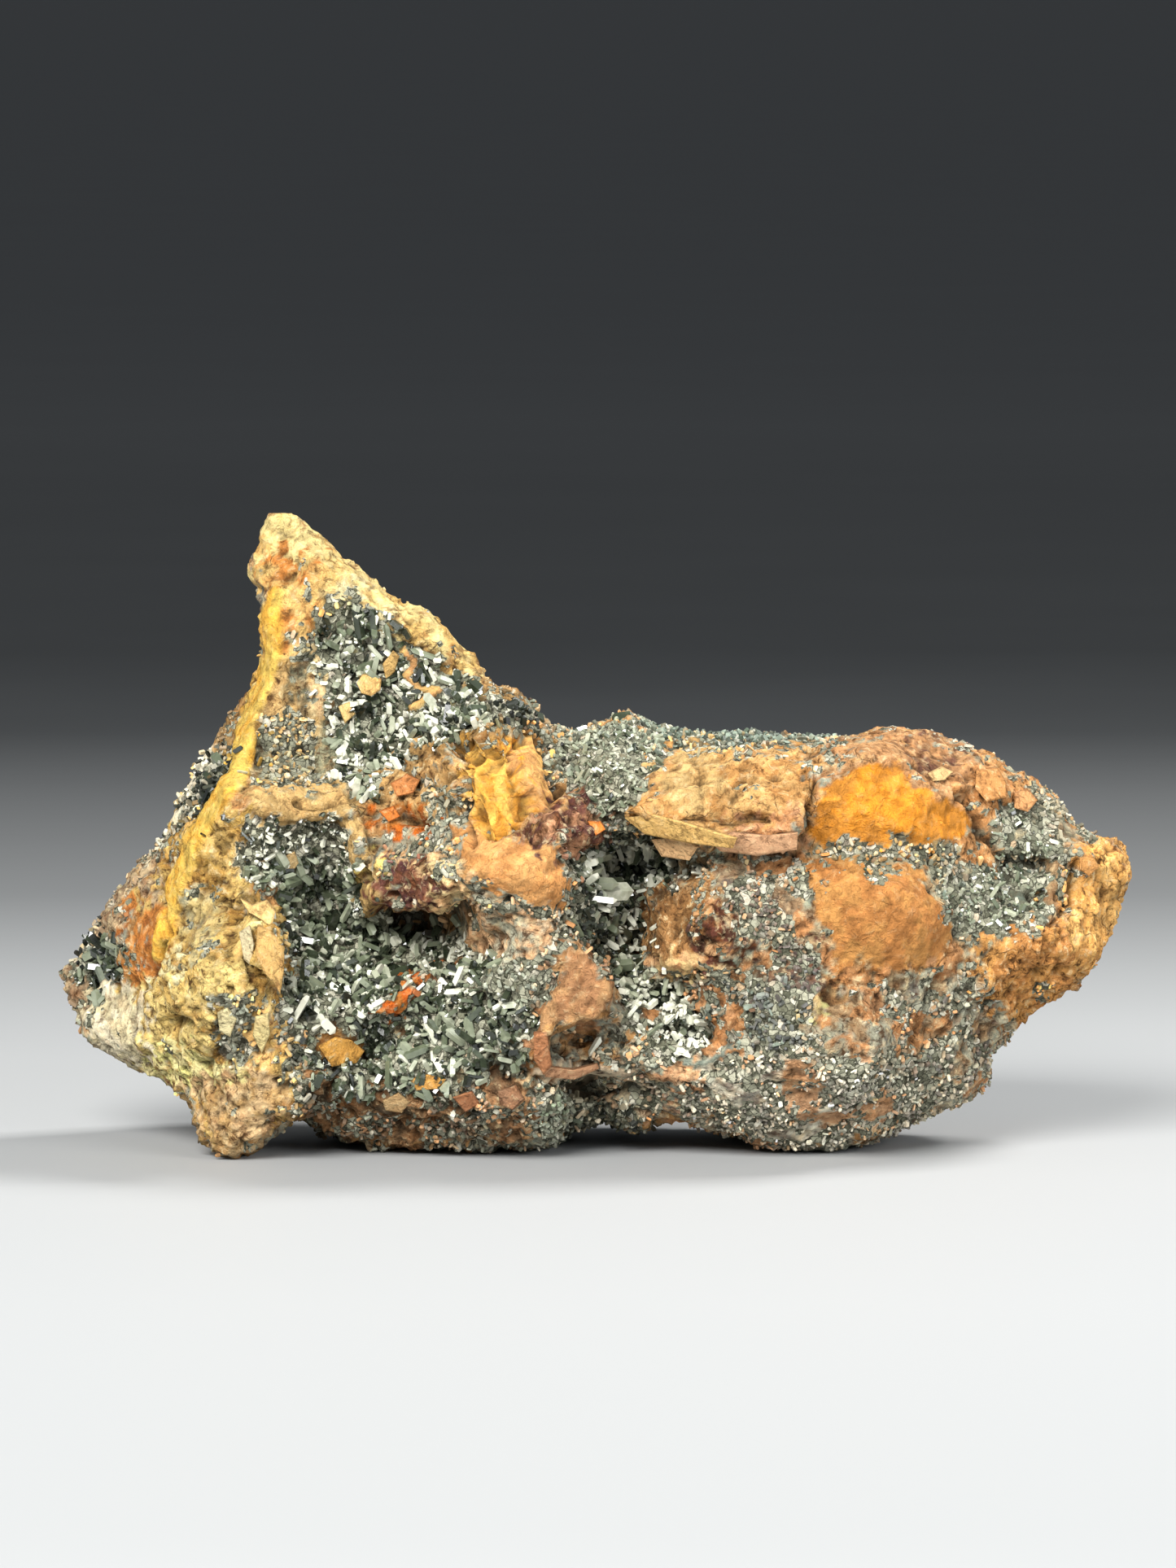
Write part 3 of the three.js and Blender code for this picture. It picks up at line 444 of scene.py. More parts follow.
     [850, 1290, 1000, 1300, 1200, 1330, 1190, 1352, 1100, 1400, 1000, 1422, 930, 1415, 850, 1375]),
    ("belly_spot", (206, 170, 128), (196, 148, 108), 0.1, 0.05, 0.2, 8,
     [808, 1322, 866, 1322, 862, 1352, 815, 1352]),
    ("low_front", (44, 48, 36), (112, 106, 84), 0.9, 0, 0.26, 12,
     [370, 1262, 445, 1242, 520, 1210, 560, 1200, 660, 1270, 660, 1320, 780, 1310, 810, 1330, 800, 1400,
      700, 1410, 400, 1410, 356, 1372, 350, 1310]),
    ("low_rust", (184, 138, 96), (124, 98, 72), 0.35, 0.15, 0.3, 9,
     [598, 1326, 662, 1320, 672, 1400, 610, 1404, 590, 1370]),
    ("low_brown", (150, 112, 76), (80, 68, 52), 0.5, 0, 0.34, 10,
     [380, 1330, 470, 1340, 560, 1345, 585, 1400, 470, 1412, 400, 1396, 360, 1370]),
    ("green_knob", (122, 132, 108), GREY, 0.9, 0.2, 0.12, 8,
     [652, 1342, 690, 1340, 694, 1400, 662, 1410, 648, 1380]),
    ("dark_band", (160, 150, 124), (200, 166, 130), 0.4, -0.1, 0.1, 8,
     [696, 1328, 800, 1328, 810, 1362, 745, 1360, 700, 1352]),
    ("toe", (78, 60, 50), (84, 88, 76), 0.4, 0, 0.2, 7,
     [740, 1282, 790, 1282, 796, 1304, 770, 1314, 736, 1306]),
    ("pink_plate", (180, 138, 94), (168, 122, 84), 0, 0.1, 0.1, 5,
     [700, 1150, 745, 1178, 758, 1200, 754, 1225, 736, 1246, 722, 1264, 690, 1266, 664, 1282, 653, 1265,
      674, 1230, 688, 1200, 693, 1165]),
    ("pink_stem", (184, 136, 98), (156, 112, 66), 0.05, 0.1, 0.08, 5,
     [652, 1268, 676, 1268, 676, 1322, 655, 1322]),
    ("thin_ledge", (206, 188, 158), (190, 170, 142), 0.05, 0.3, 0.08, 4,
     [664, 1308, 782, 1306, 782, 1322, 664, 1324]),
    ("tongue", (196, 96, 34), (190, 118, 54), 0, 0.25, 0.12, 5,
     [445, 1240, 470, 1226, 490, 1206, 520, 1195, 542, 1184, 542, 1198, 512, 1212, 496, 1236, 460, 1246]),
    ("yellow_flake", (120, 84, 42), (84, 66, 46), 0, 0.25, 0.1, 5,
     [395, 1278, 430, 1272, 448, 1290, 440, 1310, 400, 1312]),
    ("pale_streak", (144, 152, 136), (120, 130, 118), 0.2, 0.2, 0.05, 5,
     [843, 1304, 900, 1284, 906, 1294, 850, 1318]),
]

# Bands that follow a line: name, two tones, grains, raise, ruggedness, half width, line
BANDS = [
    ("pocket_fold", (234, 180, 84), (222, 160, 66), 0, -0.6, 0.05, 8,
     [604, 902, 590, 940, 604, 985, 590, 1012]),
    ("pocket_fold_two", (234, 184, 92), (222, 164, 72), 0, -0.62, 0.05, 7, [634, 912, 622, 950, 634, 986]),
    ("rib", (228, 172, 70), YELLOW, 0, 0.2, 0.08, 12,
     [337, 735, 337, 800, 325, 842, 305, 882, 297, 920, 290, 955, 265, 987, 250, 1012, 235, 1047, 215, 1082,
      202, 1130, 194, 1172]),
    ("squiggle", TAN, PINK, 0.1, 0.25, 0.05, 5,
     [500, 800, 514, 815, 500, 832, 516, 845, 540, 848, 520, 862, 505, 872]),
    ("hook", TAN, CREAM, 0, 0.25, 0.05, 6, [298, 1175, 308, 1140, 322, 1128]),
]

# Cracks and slots: half width in picture units, depth in mm, line
CRACKS = [
    (4, 0.45, [362, 988, 385, 992, 410, 988]),
    (4, 0.6, [908, 1005, 925, 1003, 942, 1008]),
    (4, 0.5, [900, 1028, 915, 1026, 930, 1029]),
    (4, 0.5, [955, 1030, 968, 1028]),
    (4, 0.5, [1001, 958, 996, 985, 993, 1020]),
    (5, 0.5, [800, 1022, 850, 1024, 900, 1046, 972, 1048]),
    (6, 0.8, [640, 1006, 650, 1018, 660, 1030]),
    (10, 1, [470, 1126, 500, 1136, 540, 1138, 566, 1128]),
    (8, 0.9, [1245, 1064, 1262, 1062, 1282, 1066]),
    (6, 0.6, [1262, 1096, 1274, 1104]),
    (7, 0.8, [498, 1006, 512, 1010]),
    (9, 0.8, [210, 1258, 220, 1264]),
    (4, 0.4, [205, 1060, 196, 1100, 204, 1150, 190, 1196]),
    (5, 0.45, [1180, 975, 1206, 1006, 1212, 1030, 1240, 1060]),
    (6, 0.6, [705, 1340, 740, 1346, 800, 1344]),
    (5, 0.5, [560, 905, 558, 950, 560, 1000, 578, 1030]),
    (5, 0.5, [664, 905, 676, 930, 684, 975]),
    (3, 0.16, [905, 930, 912, 960, 900, 990]),
    (3, 0.14, [850, 935, 862, 975, 858, 1015]),
    (3, 0.35, [838, 1010, 868, 1005, 900, 1012, 940, 1006]),
    (3, 0.3, [900, 964, 914, 958, 926, 964]),
    (3, 0.3, [860, 1032, 880, 1040, 904, 1044]),
    (4, 0.4, [1325, 1060, 1316, 1110, 1290, 1135]),
]

# What the picture shows nearly flat: how far each outline is evened out, outline
FLATS = [
    (1, [965, 1040, 1010, 1040, 1190, 1030, 1230, 1080, 1215, 1190, 1100, 1222, 985, 1205, 950, 1120]),
    (0.8, [556, 990, 600, 975, 650, 985, 684, 1020, 664, 1060, 600, 1050, 556, 1020]),
    (0.6, [812, 1100, 870, 1085, 955, 1095, 955, 1195, 870, 1205, 812, 1175]),
]
# The brown lump's side towards the cleft, and the top of that lump
BENCH = [800, 1104, 836, 1090, 880, 1088, 882, 1196, 816, 1198, 802, 1160]
CROWN = [880, 1140]
# The granular right part, where clods of other tones lie
CLOD_PATCH = [800, 1080, 960, 1040, 1225, 1190, 1225, 1330, 1110, 1400, 940, 1420, 800, 1380]

flat_share = np.zeros(len(at))
for share, outline in FLATS:
    flat_share = np.maximum(flat_share, share * step(inside(outline, picture(at)), -12, 16))
flat_share *= at[:, 1] < FRONT_DEPTH
at = at + flat_share[:, None] * (evened(at, edges, 220) - at)
# The bench is brought forward to near the crown's own depth
seen = picture(at)
bench = step(inside(BENCH, seen), -2, 12)
crown = (at[:, 1] < FRONT_DEPTH) & (np.hypot(seen[:, 0] - CROWN[0], seen[:, 1] - CROWN[1]) < 20)
sunk = np.clip(at[:, 1] - at[crown, 1].mean() - 0.5, 0, 4) * bench * (at[:, 1] < 0)
at = at - np.stack((0 * sunk, 0.85 * sunk, 0 * sunk), 1)
at = at + (bench * (at[:, 1] < FRONT_DEPTH))[:, None] * (evened(at, edges, 12) - at)
normals = corner_normals(at, faces)
outwards = evened(normals, edges, 4)
outwards /= np.linalg.norm(outwards, axis=1)[:, None]
places = picture(at)
wander = 14 * noise_ways(at, 2.2, SEED + 1, 2, 2)
wander += 16 * noise_ways(at, 0.8, SEED + 3, 3, 2)
places_loose = places + wander
# Grain by grain a place takes the tone of another spot close by, so that regions interlock at their borders
near, wall, number = grains(at + 0.12 * noise_ways(at, 0.3, SEED + 45, 2), GRAIN, SEED + 40)
hops = HOP * np.stack((number - 0.5, number * 57 % 1 - 0.5), 1)
wander_3d = noise_ways(at, 0.8, SEED + 30, 3)
facing = -outwards[:, 1] * math.cos(TILT) + outwards[:, 2] * math.sin(TILT)
front = step(facing, -0.32, -0.05)

patchy = step(layered_noise(at, 0.9, SEED + 10, 4) + 0.5 * (number * 31 % 1 - 0.5), -0.25, 0.25)[:, None]
zone = step(layered_noise(at, 5.5, SEED + 20, 3), -0.12, 0.12)
zone_two = step(layered_noise(at, 4.0, SEED + 25, 3), 0.0, 0.2)

# Behind, where the picture doesn't reach: ochre and brown rock with patches of green grains
tint = linear((208, 162, 90)) * (1 - patchy) + linear((152, 108, 68)) * patchy
tint = tint * (1 - zone_two[:, None]) + linear(TAN) * zone_two[:, None]
grain = zone * 0.85
green = linear(GREY) * patchy + linear(DARK) * (1 - patchy)
tint = tint * (1 - 0.75 * zone[:, None]) + 0.75 * zone[:, None] * green
rugged = np.full(len(at), 0.2)
raised = np.zeros(len(at))


def paint(share, speckled, tone_a, tone_b, grain_share, raise_by, rough_by):
    """Give part of the surface its tones and grains (where speckled) and its relief (by its share)"""
    global tint, grain, raised, rugged
    mixed = linear(tone_a) * (1 - patchy) + linear(tone_b) * patchy
    tint = tint * (1 - speckled[:, None]) + mixed * speckled[:, None]
    grain = grain * (1 - speckled) + grain_share * speckled
    rugged = rugged * (1 - share) + rough_by * share
    raised = raised * (1 - share) + raise_by * share


paint(front, front, (186, 140, 88), GREY, 0.3, 0, 0.2)
for name, tone_a, tone_b, grain_share, raise_by, rough_by, border, outline in REGIONS:
    share = step(inside(outline, places_loose), -0.5 * border, 0.5 * border) * front
    hopped = places_loose + hops * min(1, rough_by / 0.15)
    speckled = step(inside(outline, hopped), -2, 2) * front
    paint(share, speckled, tone_a, tone_b, grain_share, raise_by, rough_by)
for name, tone_a, tone_b, grain_share, raise_by, rough_by, width, line in BANDS:
    near_line = from_line(line, places + 0.35 * wander)
    share = (1 - step(near_line, 0.6 * width, 1.3 * width)) * front
    paint(share, share, tone_a, tone_b, grain_share, raise_by, rough_by)
# Through the granular right part run rusty clods and slate-dark ones
clods = layered_noise(at, 1.5, SEED + 52, 3) + 0.25 * (number * 71 % 1 - 0.5)
loose = step(inside(CLOD_PATCH, places_loose), -6, 6) * front * (grain > 0.25)
for share, tone, kept_grain in (
    (0.8 * step(clods, 0.16, 0.24), (196, 136, 84), 0.3),
    (0.7 * step(-clods, 0.2, 0.28), (84, 80, 80), 0.8),
):
    share = share * loose
    tint = tint * (1 - share[:, None]) + linear(tone) * share[:, None]
    grain = grain * (1 - share) + kept_grain * share
# Each grain is a little darker or lighter than the next, darker where they meet
tint *= (0.72 + 0.5 * (number * 13 % 1) + 0.08 * step(wall, 0, 0.2))[:, None]

# The green mineral lies in crisp patches, more of them where a region has a larger share of it
mottled = layered_noise(at, 1.1, SEED + 35, 4)
grain = step(1.5 * (2 * grain - 1) - 2.6 * mottled, -0.12, 0.12)

# Relief: ledges and lumps of the regions, crags, packed grains, pits and cracks
grain_height = (0.5 - near) * 0.3 * (0.4 + number)
crag = layered_noise(at, 1.9, SEED + 60, 5)
ridge = layered_noise(at, 1.3, SEED + 70, 4, ridged=True)
broken = chips(at + 0.3 * wander_3d, 1.3, SEED + 110) + 0.6 * chips(at + 0.15 * wander_3d, 0.6, SEED + 130)
crumbs = chips(at + 0.1 * wander_3d, GRAIN, SEED + 150)
height = raised - 0.1 + rugged * (crag + 0.5 * ridge + 1.6 * broken) + (0.02 + 0.9 * rugged) * crumbs
coarse = np.clip(rugged / 0.14, 0.3, 1)
height += 0.15 * coarse * layered_noise(at, 3.5, SEED + 80, 3)
height += grain * grain_height + (1 - grain) * 0.07 * coarse * layered_noise(at, 0.45, SEED + 90, 2)
pits, _, pit_number = grains(at + 0.3 * wander_3d, 1.3, SEED + 100)
height -= rugged * 1.6 * (1 - step(pits, 0.06, 0.34)) * (pit_number > 0.7)
for width, depth, line in CRACKS:
    near_line = from_line(line, places + 0.3 * wander)
    height -= depth * np.exp(-((near_line / width) ** 2)) * front
at = at + outwards * height[:, None]
at = evened(at, edges, 1, 0.15)

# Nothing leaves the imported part's box, and the underside stays flat where it stands
low, high = BOX_LOW + MARGIN, BOX_HIGH - MARGIN
at = np.clip(at, np.array((low[0], low[1], 0.0)), high)
normals = corner_normals(at, faces)
# how deep each corner lies in a hollow, for the painted shade in the rock's hollows
hollow_shade = np.einsum("ij,ij->i", evened(at, edges, 14, 0.6) - at, normals)


def mesh_object(name, corners, polygons, replaced=()):
    """A piece of the visual model, from corners in mm, that rides on the specimen"""
    mesh = bpy.data.meshes.new(name)
    mesh.from_pydata((corners * MM).tolist(), [], polygons)
    piece = bpy.data.objects.new(name, mesh)
    bpy.context.scene.collection.objects.link(piece)
    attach(piece, "root")
    if replaced:
        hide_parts(*replaced)
    return piece


def store(piece, name, values):
    """A number or a tone at each corner, for the materials"""
    kind, field = "FLOAT", "value"
    if values.ndim == 2:
        kind, field = "FLOAT_COLOR", "color"
        values = np.concatenate((values, np.ones((len(values), 1))), 1)
    layer = piece.data.attributes.new(name, kind, "POINT")
    layer.data.foreach_set(field, values.astype(np.float32).ravel())


# The rock in two halves, the near one and the far one
rocks = []
face_depth = at[faces].mean(1)[:, 1]
far = face_depth > np.median(face_depth)
for name, half in (("gossan_front", ~far), ("gossan_back", far)):
    used, renumbered = np.unique(faces[half], return_inverse=True)
    rock = mesh_object(name, at[used], renumbered.reshape(-1, 4).tolist(), ["gossan_matrix"])
    store(rock, "tint", tint[used])
    store(rock, "grain", grain[used])
    store(rock, "hollow_shade", np.clip(hollow_shade[used] / 0.12, -1, 1))
    store(rock, "rugged", rugged[used])
    rock.data.shade_smooth()
    rock.data.normals_split_custom_set_from_vertices(normals[used].tolist())
    rocks.append(rock)
    print(name, 2 * int(half.sum()), "triangles")


# Surfaces


class Surface:
    """A material and its shader nodes"""

    def __init__(self, name, **fixed):
        self.material = bpy.data.materials.new(name)
        self.material.use_nodes = True
        self.tree = self.material.node_tree
        self.shader = self.tree.nodes["Principled BSDF"]
        for socket, value in fixed.items():
            self.shader.inputs[socket.replace("_", " ")].default_value = value
        self.place = self.node("TexCoord").outputs["Object"]

    def node(self, kind, inputs=(), **settings):
        made = self.tree.nodes.new("ShaderNode" + kind)
        for key, value in settings.items():
            setattr(made, key, value)
        for key, value in dict(inputs).items():
            if isinstance(value, bpy.types.NodeSocket):
                self.tree.links.new(value, made.inputs[key])
            else:
                made.inputs[key].default_value = value
        return made

    def noise(self, size_mm, detail=3, rough=0.55, place=None, output="Fac"):
        inputs = {"Vector": self.place if place is None else place, "Scale": 1 / (size_mm * MM)}
        inputs |= {"Detail": detail, "Roughness": rough}
        return self.node("TexNoise", inputs).outputs[output]

    def voronoi(self, size_mm, place, output="Distance", feature="F1"):
        inputs = {"Vector": place, "Scale": 1 / (size_mm * MM)}
        return self.node("TexVoronoi", inputs, feature=feature).outputs[output]

    def grey(self, value):
        return self.node("CombineColor", {"Red": value, "Green": value, "Blue": value}).outputs[0]

    def attribute(self, name, output="Fac"):
        return self.node("Attribute", attribute_name=name).outputs[output]

    def spread(self, value, low, high, to_low=0.0, to_high=1.0):
        inputs = {"Value": value, "From Min": low, "From Max": high, "To Min": to_low, "To Max": to_high}
        return self.node("MapRange", inputs).outputs["Result"]

    def math(self, operation, a, b=0.0):
        made = self.node("Math", {0: a, 1: b}, operation=operation)
        return made.outputs[0]

    def mix(self, share, a, b, blend="MIX"):
        made = self.node("Mix", data_type="RGBA", blend_type=blend)
        for socket, value in (("Factor_Float", share), ("A_Color", a), ("B_Color", b)):
            target = next(i for i in made.inputs if i.identifier == socket)
            if isinstance(value, bpy.types.NodeSocket):
                self.tree.links.new(value, target)
            else:
                target.default_value = value
        return next(o for o in made.outputs if o.identifier == "Result_Color")

    def ramp(self, value, stops):
        made = self.node("ValToRGB", {"Fac": value})
        elements = made.color_ramp.elements
        while len(elements) < len(stops):
            elements.new(0.5)
        for element, (where, tone) in zip(elements, stops):
            element.position = where
            element.color = (*linear(tone), 1)
        return made.outputs["Color"]

    def set(self, socket, value):
        self.tree.links.new(value, self.shader.inputs[socket])

    def bump(self, height, distance_mm, strength=1.0, below=None):
        inputs = {"Height": height, "Distance": distance_mm * MM, "Strength": strength}
        if below is not None:
            inputs["Normal"] = below
        return self.node("Bump", inputs).outputs["Normal"]


def rgb(*tone):
    return (*linear(tone), 1)


# Tones of the green grains, and of crystals from the dark to the light
SPECKS = [(0, (60, 62, 50)), (0.25, (120, 120, 100)), (0.5, (160, 160, 138)), (0.7, (192, 190, 166))]
SPECKS += [(0.85, (226, 222, 202)), (1, (196, 160, 116))]
# the pale end of the crystals' tones is partly painted highlight, standing for glints of the lamps on their
# faces
SHADES = [(0, (16, 20, 14)), (0.3, (46, 54, 38)), (0.55, (98, 106, 84)), (0.75, (134, 140, 118))]
SHADES += [(0.9, (168, 171, 149)), (1, (212, 212, 194))]


def rock_surface():
    s = Surface("gossan", Specular_IOR_Level=0.12)
    base = s.attribute("tint", "Color")
    grain_share = s.attribute("grain")
    hollow_share = s.attribute("hollow_shade")
    rough_share = s.spread(s.attribute("rugged"), 0.05, 0.18, 0.2, 1)
    # the place, bent by noise, so that no pattern below keeps straight edges
    bend = s.noise(0.6, 3, 0.5, output="Color")
    centred = s.node("VectorMath", {0: bend, 1: (0.5, 0.5, 0.5)}, operation="SUBTRACT").outputs[0]
    shift = s.node("VectorMath", {0: centred, "Scale": 0.5 * MM}, operation="SCALE").outputs[0]
    bent = s.node("VectorMath", {0: s.place, 1: shift}).outputs[0]
    # crumbly surface: low spots dark with painted shade, high spots light with painted highlights
    crumb = s.noise(0.42, 6, 0.68, bent)
    clods = s.voronoi(0.5, bent)
    crack = s.spread(s.voronoi(1.1, bent, feature="DISTANCE_TO_EDGE"), 0.0, 0.03, 1, 0)
    crack = s.math("MULTIPLY", crack, s.spread(s.noise(1.3, 2), 0.54, 0.62))
    crack = s.math("MULTIPLY", crack, s.spread(rough_share, 0.4, 0.8))
    stain = s.spread(s.noise(1.1, 5, 0.6), 0.3, 0.7, -0.24, 0.2)
    stain = s.math("ADD", 1.0, s.math("MULTIPLY", stain, s.spread(rough_share, 0, 1, 0.3, 1)))
    base = s.mix(1.0, base, s.grey(stain), "MULTIPLY")
    warm = s.spread(s.noise(0.7, 5, 0.65), 0.5, 0.66)
    base = s.mix(s.math("MULTIPLY", warm, s.math("MULTIPLY", rough_share, 0.3)), base, rgb(180, 108, 48))
    # painted shade: dark brown in the crumbs' low spots
    low = s.math("MULTIPLY", s.spread(crumb, 0.48, 0.36, 0, 0.9), rough_share)
    base = s.mix(low, base, rgb(74, 46, 24))
    # painted highlight: pale cream on the crumbs' high spots
    bright = s.math("MULTIPLY", s.spread(crumb, 0.54, 0.66, 0, 0.5), rough_share)
    base = s.mix(bright, base, rgb(248, 226, 176))
    # grains of the green mineral in crisp patches: each its own tone, dark between them
    speck = s.ramp(s.voronoi(0.3, bent, "Color"), SPECKS)
    edge = s.voronoi(0.3, bent, feature="DISTANCE_TO_EDGE")
    speck = s.mix(s.spread(edge, 0.0, 0.1), rgb(44, 44, 34), speck)
    patch = s.spread(s.noise(0.4, 4, 0.66), 0.3, 0.7, -0.8, 0.8)
    share = s.spread(s.math("SUBTRACT", s.spread(grain_share, 0, 1, -1, 1), patch), -0.1, 0.1)
    base = s.mix(share, base, speck)
    # painted shade: the rock darkens towards deep brown in its hollows, where shade falls
    shade = s.spread(hollow_share, 0.0, 1.0, 0.0, 0.7)
    base = s.mix(shade, base, rgb(34, 24, 16))
    base = s.mix(s.math("MULTIPLY", crack, 0.55), base, rgb(56, 36, 22))
    s.set("Base Color", base)
    s.set("Roughness", s.spread(share, 0, 1, 0.95, 0.5))
    fine = s.bump(s.noise(0.11, 3, 0.6), 0.07, 0.9)
    crumbly = s.bump(crumb, 0.36, 1.0, fine)
    pebbly = s.bump(clods, 0.14, 0.7, crumbly)
    cracked = s.bump(s.math("MULTIPLY", crack, -1.0), 0.1, 0.8, pebbly)
    s.set("Normal", cracked)
    return s.material


def crystal_surface():
    s = Surface("olivenite", Roughness=0.24, IOR=1.77)
    shade = s.math("ADD", s.attribute("shade"), s.spread(s.noise(0.5, 3), 0.3, 0.7, -0.08, 0.08))
    # the palest crystal tones are partly painted glints
    s.set("Base Color", s.ramp(shade, SHADES))
    s.set("Normal", s.bump(s.noise(0.08, 2, 0.5), 0.01, 0.25))
    return s.material


def granule_surface():
    s = Surface("granules", Roughness=0.5, Specular_IOR_Level=0.4)
    stain = s.spread(s.noise(0.25, 4, 0.65), 0.3, 0.7, 0.8, 1.25)
    s.set("Base Color", s.mix(1.0, s.attribute("tint", "Color"), s.grey(stain), "MULTIPLY"))
    s.set("Normal", s.bump(s.noise(0.07, 2, 0.6), 0.02, 0.5))
    return s.material


gossan = rock_surface()
for rock in rocks:
    rock.data.materials.append(gossan)
olivenite = crystal_surface()
granules = granule_surface()

# Crystals: flattened four-sided prisms that end in a wedge, rooted in the rock
random = np.random.default_rng(SEED)
tree = BVHTree.FromPolygons(at.tolist(), faces.tolist())
corners_of_face = at[faces]
face_middle = corners_of_face.mean(1)
face_span = face_spans(at, faces)
face_area = np.linalg.norm(face_span, axis=1) / 2
face_normal = face_span / np.maximum(2 * face_area, 1e-12)[:, None]

PRISM = np.array(
    [(x, y, z) for z in (-0.36, 0.36) for x, y in ((1, 0), (0, 1), (-1, 0), (0, -1))]
    + [(0, 0.5, z) for z in (-0.5, 0.5)]
    + [(0, -0.5, z) for z in (-0.5, 0.5)]
)
PRISM_FACES = [(0, 1, 5, 4), (1, 2, 6, 5), (2, 3, 7, 6), (3, 0, 4, 7)]
PRISM_FACES += [(4, 5, 9), (5, 6, 9), (6, 7, 11), (7, 4, 11), (4, 9, 11), (6, 11, 9)]
PRISM_FACES += [(1, 0, 8), (2, 1, 8), (3, 2, 10), (0, 3, 10), (0, 10, 8), (2, 8, 10)]


def crystals(name, material, middles, ways, lengths, widths, shades, replaced=()):
    """One joined mesh of prisms, with a shade or a tint for each"""
    count = len(middles)
    ways = ways / np.linalg.norm(ways, axis=1)[:, None]
    side = np.cross(ways, random.normal(size=(count, 3)))
    side /= np.linalg.norm(side, axis=1)[:, None]
    other = np.cross(ways, side)
    flat = random.uniform(0.5, 0.9, count)
    half_width = widths[:, None, None] / 2
    points = (
        middles[:, None]
        + side[:, None] * PRISM[None, :, :1] * half_width
        + other[:, None] * PRISM[None, :, 1:2] * half_width * flat[:, None, None]
        + ways[:, None] * PRISM[None, :, 2:] * lengths[:, None, None]
    )
    kept = ((points > low) & (points < high)).all((1, 2))
    points = points[kept]
    corners = points.reshape(-1, 3)
    starts = range(0, len(corners), len(PRISM))
    polygons = [tuple(start + i for i in face) for start in starts for face in PRISM_FACES]
    piece = mesh_object(name, corners, polygons, replaced)
    store(piece, "shade" if shades.ndim == 1 else "tint", np.repeat(shades[kept], len(PRISM), axis=0))
    piece.data.materials.append(material)
    print(name, len(points), "crystals")


def scatter(weights, per_mm2):
    """Random places on the rock's faces: foot, outward way and face number"""
    share = face_area * weights
    count = int(share.sum() * per_mm2)
    chosen = random.choice(len(faces), count, p=share / share.sum())
    u, v = random.random((2, count, 1))
    a, b, c, d = (corners_of_face[chosen, k] for k in range(4))
    return (a * (1 - u) + b * u) * (1 - v) + (d * (1 - u) + c * u) * v, face_normal[chosen], chosen


def near_node(node, reach):
    """Which of the rock's faces lie within reach of one packed crust"""
    mesh = nodes[node].data
    points = [v.co / MM for v in mesh.vertices]
    surface = BVHTree.FromPolygons(points, [tuple(p.vertices) for p in mesh.polygons])
    lowest, highest = np.min(points, 0) - reach, np.max(points, 0) + reach
    chosen = np.zeros(len(faces), bool)
    for k in np.nonzero(((face_middle > lowest) & (face_middle < highest)).all(1))[0]:
        chosen[k] = surface.find_nearest(Vector(face_middle[k]), reach)[0] is not None
    return chosen


def strewn(weights, per_mm2, length, width, upright, tones):
    """Crystals on the rock, lying and standing every way: middle, way, length, width, shade of each"""
    foot, out, chosen = scatter(weights, per_mm2)
    count = len(foot)
    way = random.normal(size=(count, 3))
    way /= np.linalg.norm(way, axis=1)[:, None]
    way += (upright - np.maximum(0, -upright) * np.einsum("ij,ij->i", way, out))[:, None] * out
    lift = np.einsum("ij,ij->i", way, out)
    way += out * (np.abs(lift) - lift)[:, None]
    way /= np.linalg.norm(way, axis=1)[:, None]
    finer = 1.22 - 0.6 * face_light[chosen] ** 2
    lengths = length * finer * random.uniform(0.55, 1.45, count)
    widths = width * finer * random.uniform(0.7, 1.35, count)
    lift = np.einsum("ij,ij->i", way, out)
    rise = 0.28 * lengths * lift + 0.2 * widths
    # darker or paler as the rock below is, and some of them near black
    bright, spread, dark = tones
    shades = bright * face_light[chosen] + spread * random.normal(size=count)
    shades = np.where(random.random(count) < dark, random.uniform(0, 0.35, count), shades)
    shades = np.clip(shades, 0, 1)
    return [foot + out * rise[:, None], way, lengths, widths, shades]


# How light the rock is below the crystals
face_light = np.clip(0.28 + 0.68 * (tint[faces].mean((1, 2)) / linear((200, 200, 200))[0]) ** 0.4, 0, 1)
# The druses: crystals in place of each packed crust, small, middling and large ones
CRUSTS = ["fin", "basin", "cleft", "foot", "mound", "shoulder", "flank", "tip", "back"]
# per mm2, length, width, how upright
SIZES = [(7.5, 0.32, 0.2, 0.2), (4, 0.52, 0.27, 0.4), (1.6, 0.85, 0.34, 0.5)]
# how much paler each crust's crystals are; the cleft's large share is partly painted light that offsets the
# shade inside the cleft
BRIGHT = {"cleft": 1.8, "fin": 1.35, "basin": 1.4, "tip": 0.8, "flank": 0.7}
druse = np.zeros(len(faces), bool)
grainy = grain[faces].mean(1)
for kind in CRUSTS:
    node = "olivenite_crust_" + kind
    close = near_node(node, 0.6)
    druse |= close
    weights = close * np.clip(1.6 * grainy - 0.5, 0.02, 1)
    fine = 0.6 if kind in ("mound", "shoulder") else 1
    upright = -0.6 if kind == "mound" else 0
    spread, dark = (0.26, 0.28) if fine == 1 else (0.14, 0.12)
    tones = (BRIGHT.get(kind, 1.0), spread, dark)
    layers = [
        strewn(weights, per_mm2, fine * length, fine * width, up + upright, tones)
        for per_mm2, length, width, up in SIZES
    ]
    crystals("crystals_" + kind, olivenite, *map(np.concatenate, zip(*layers)), [node])

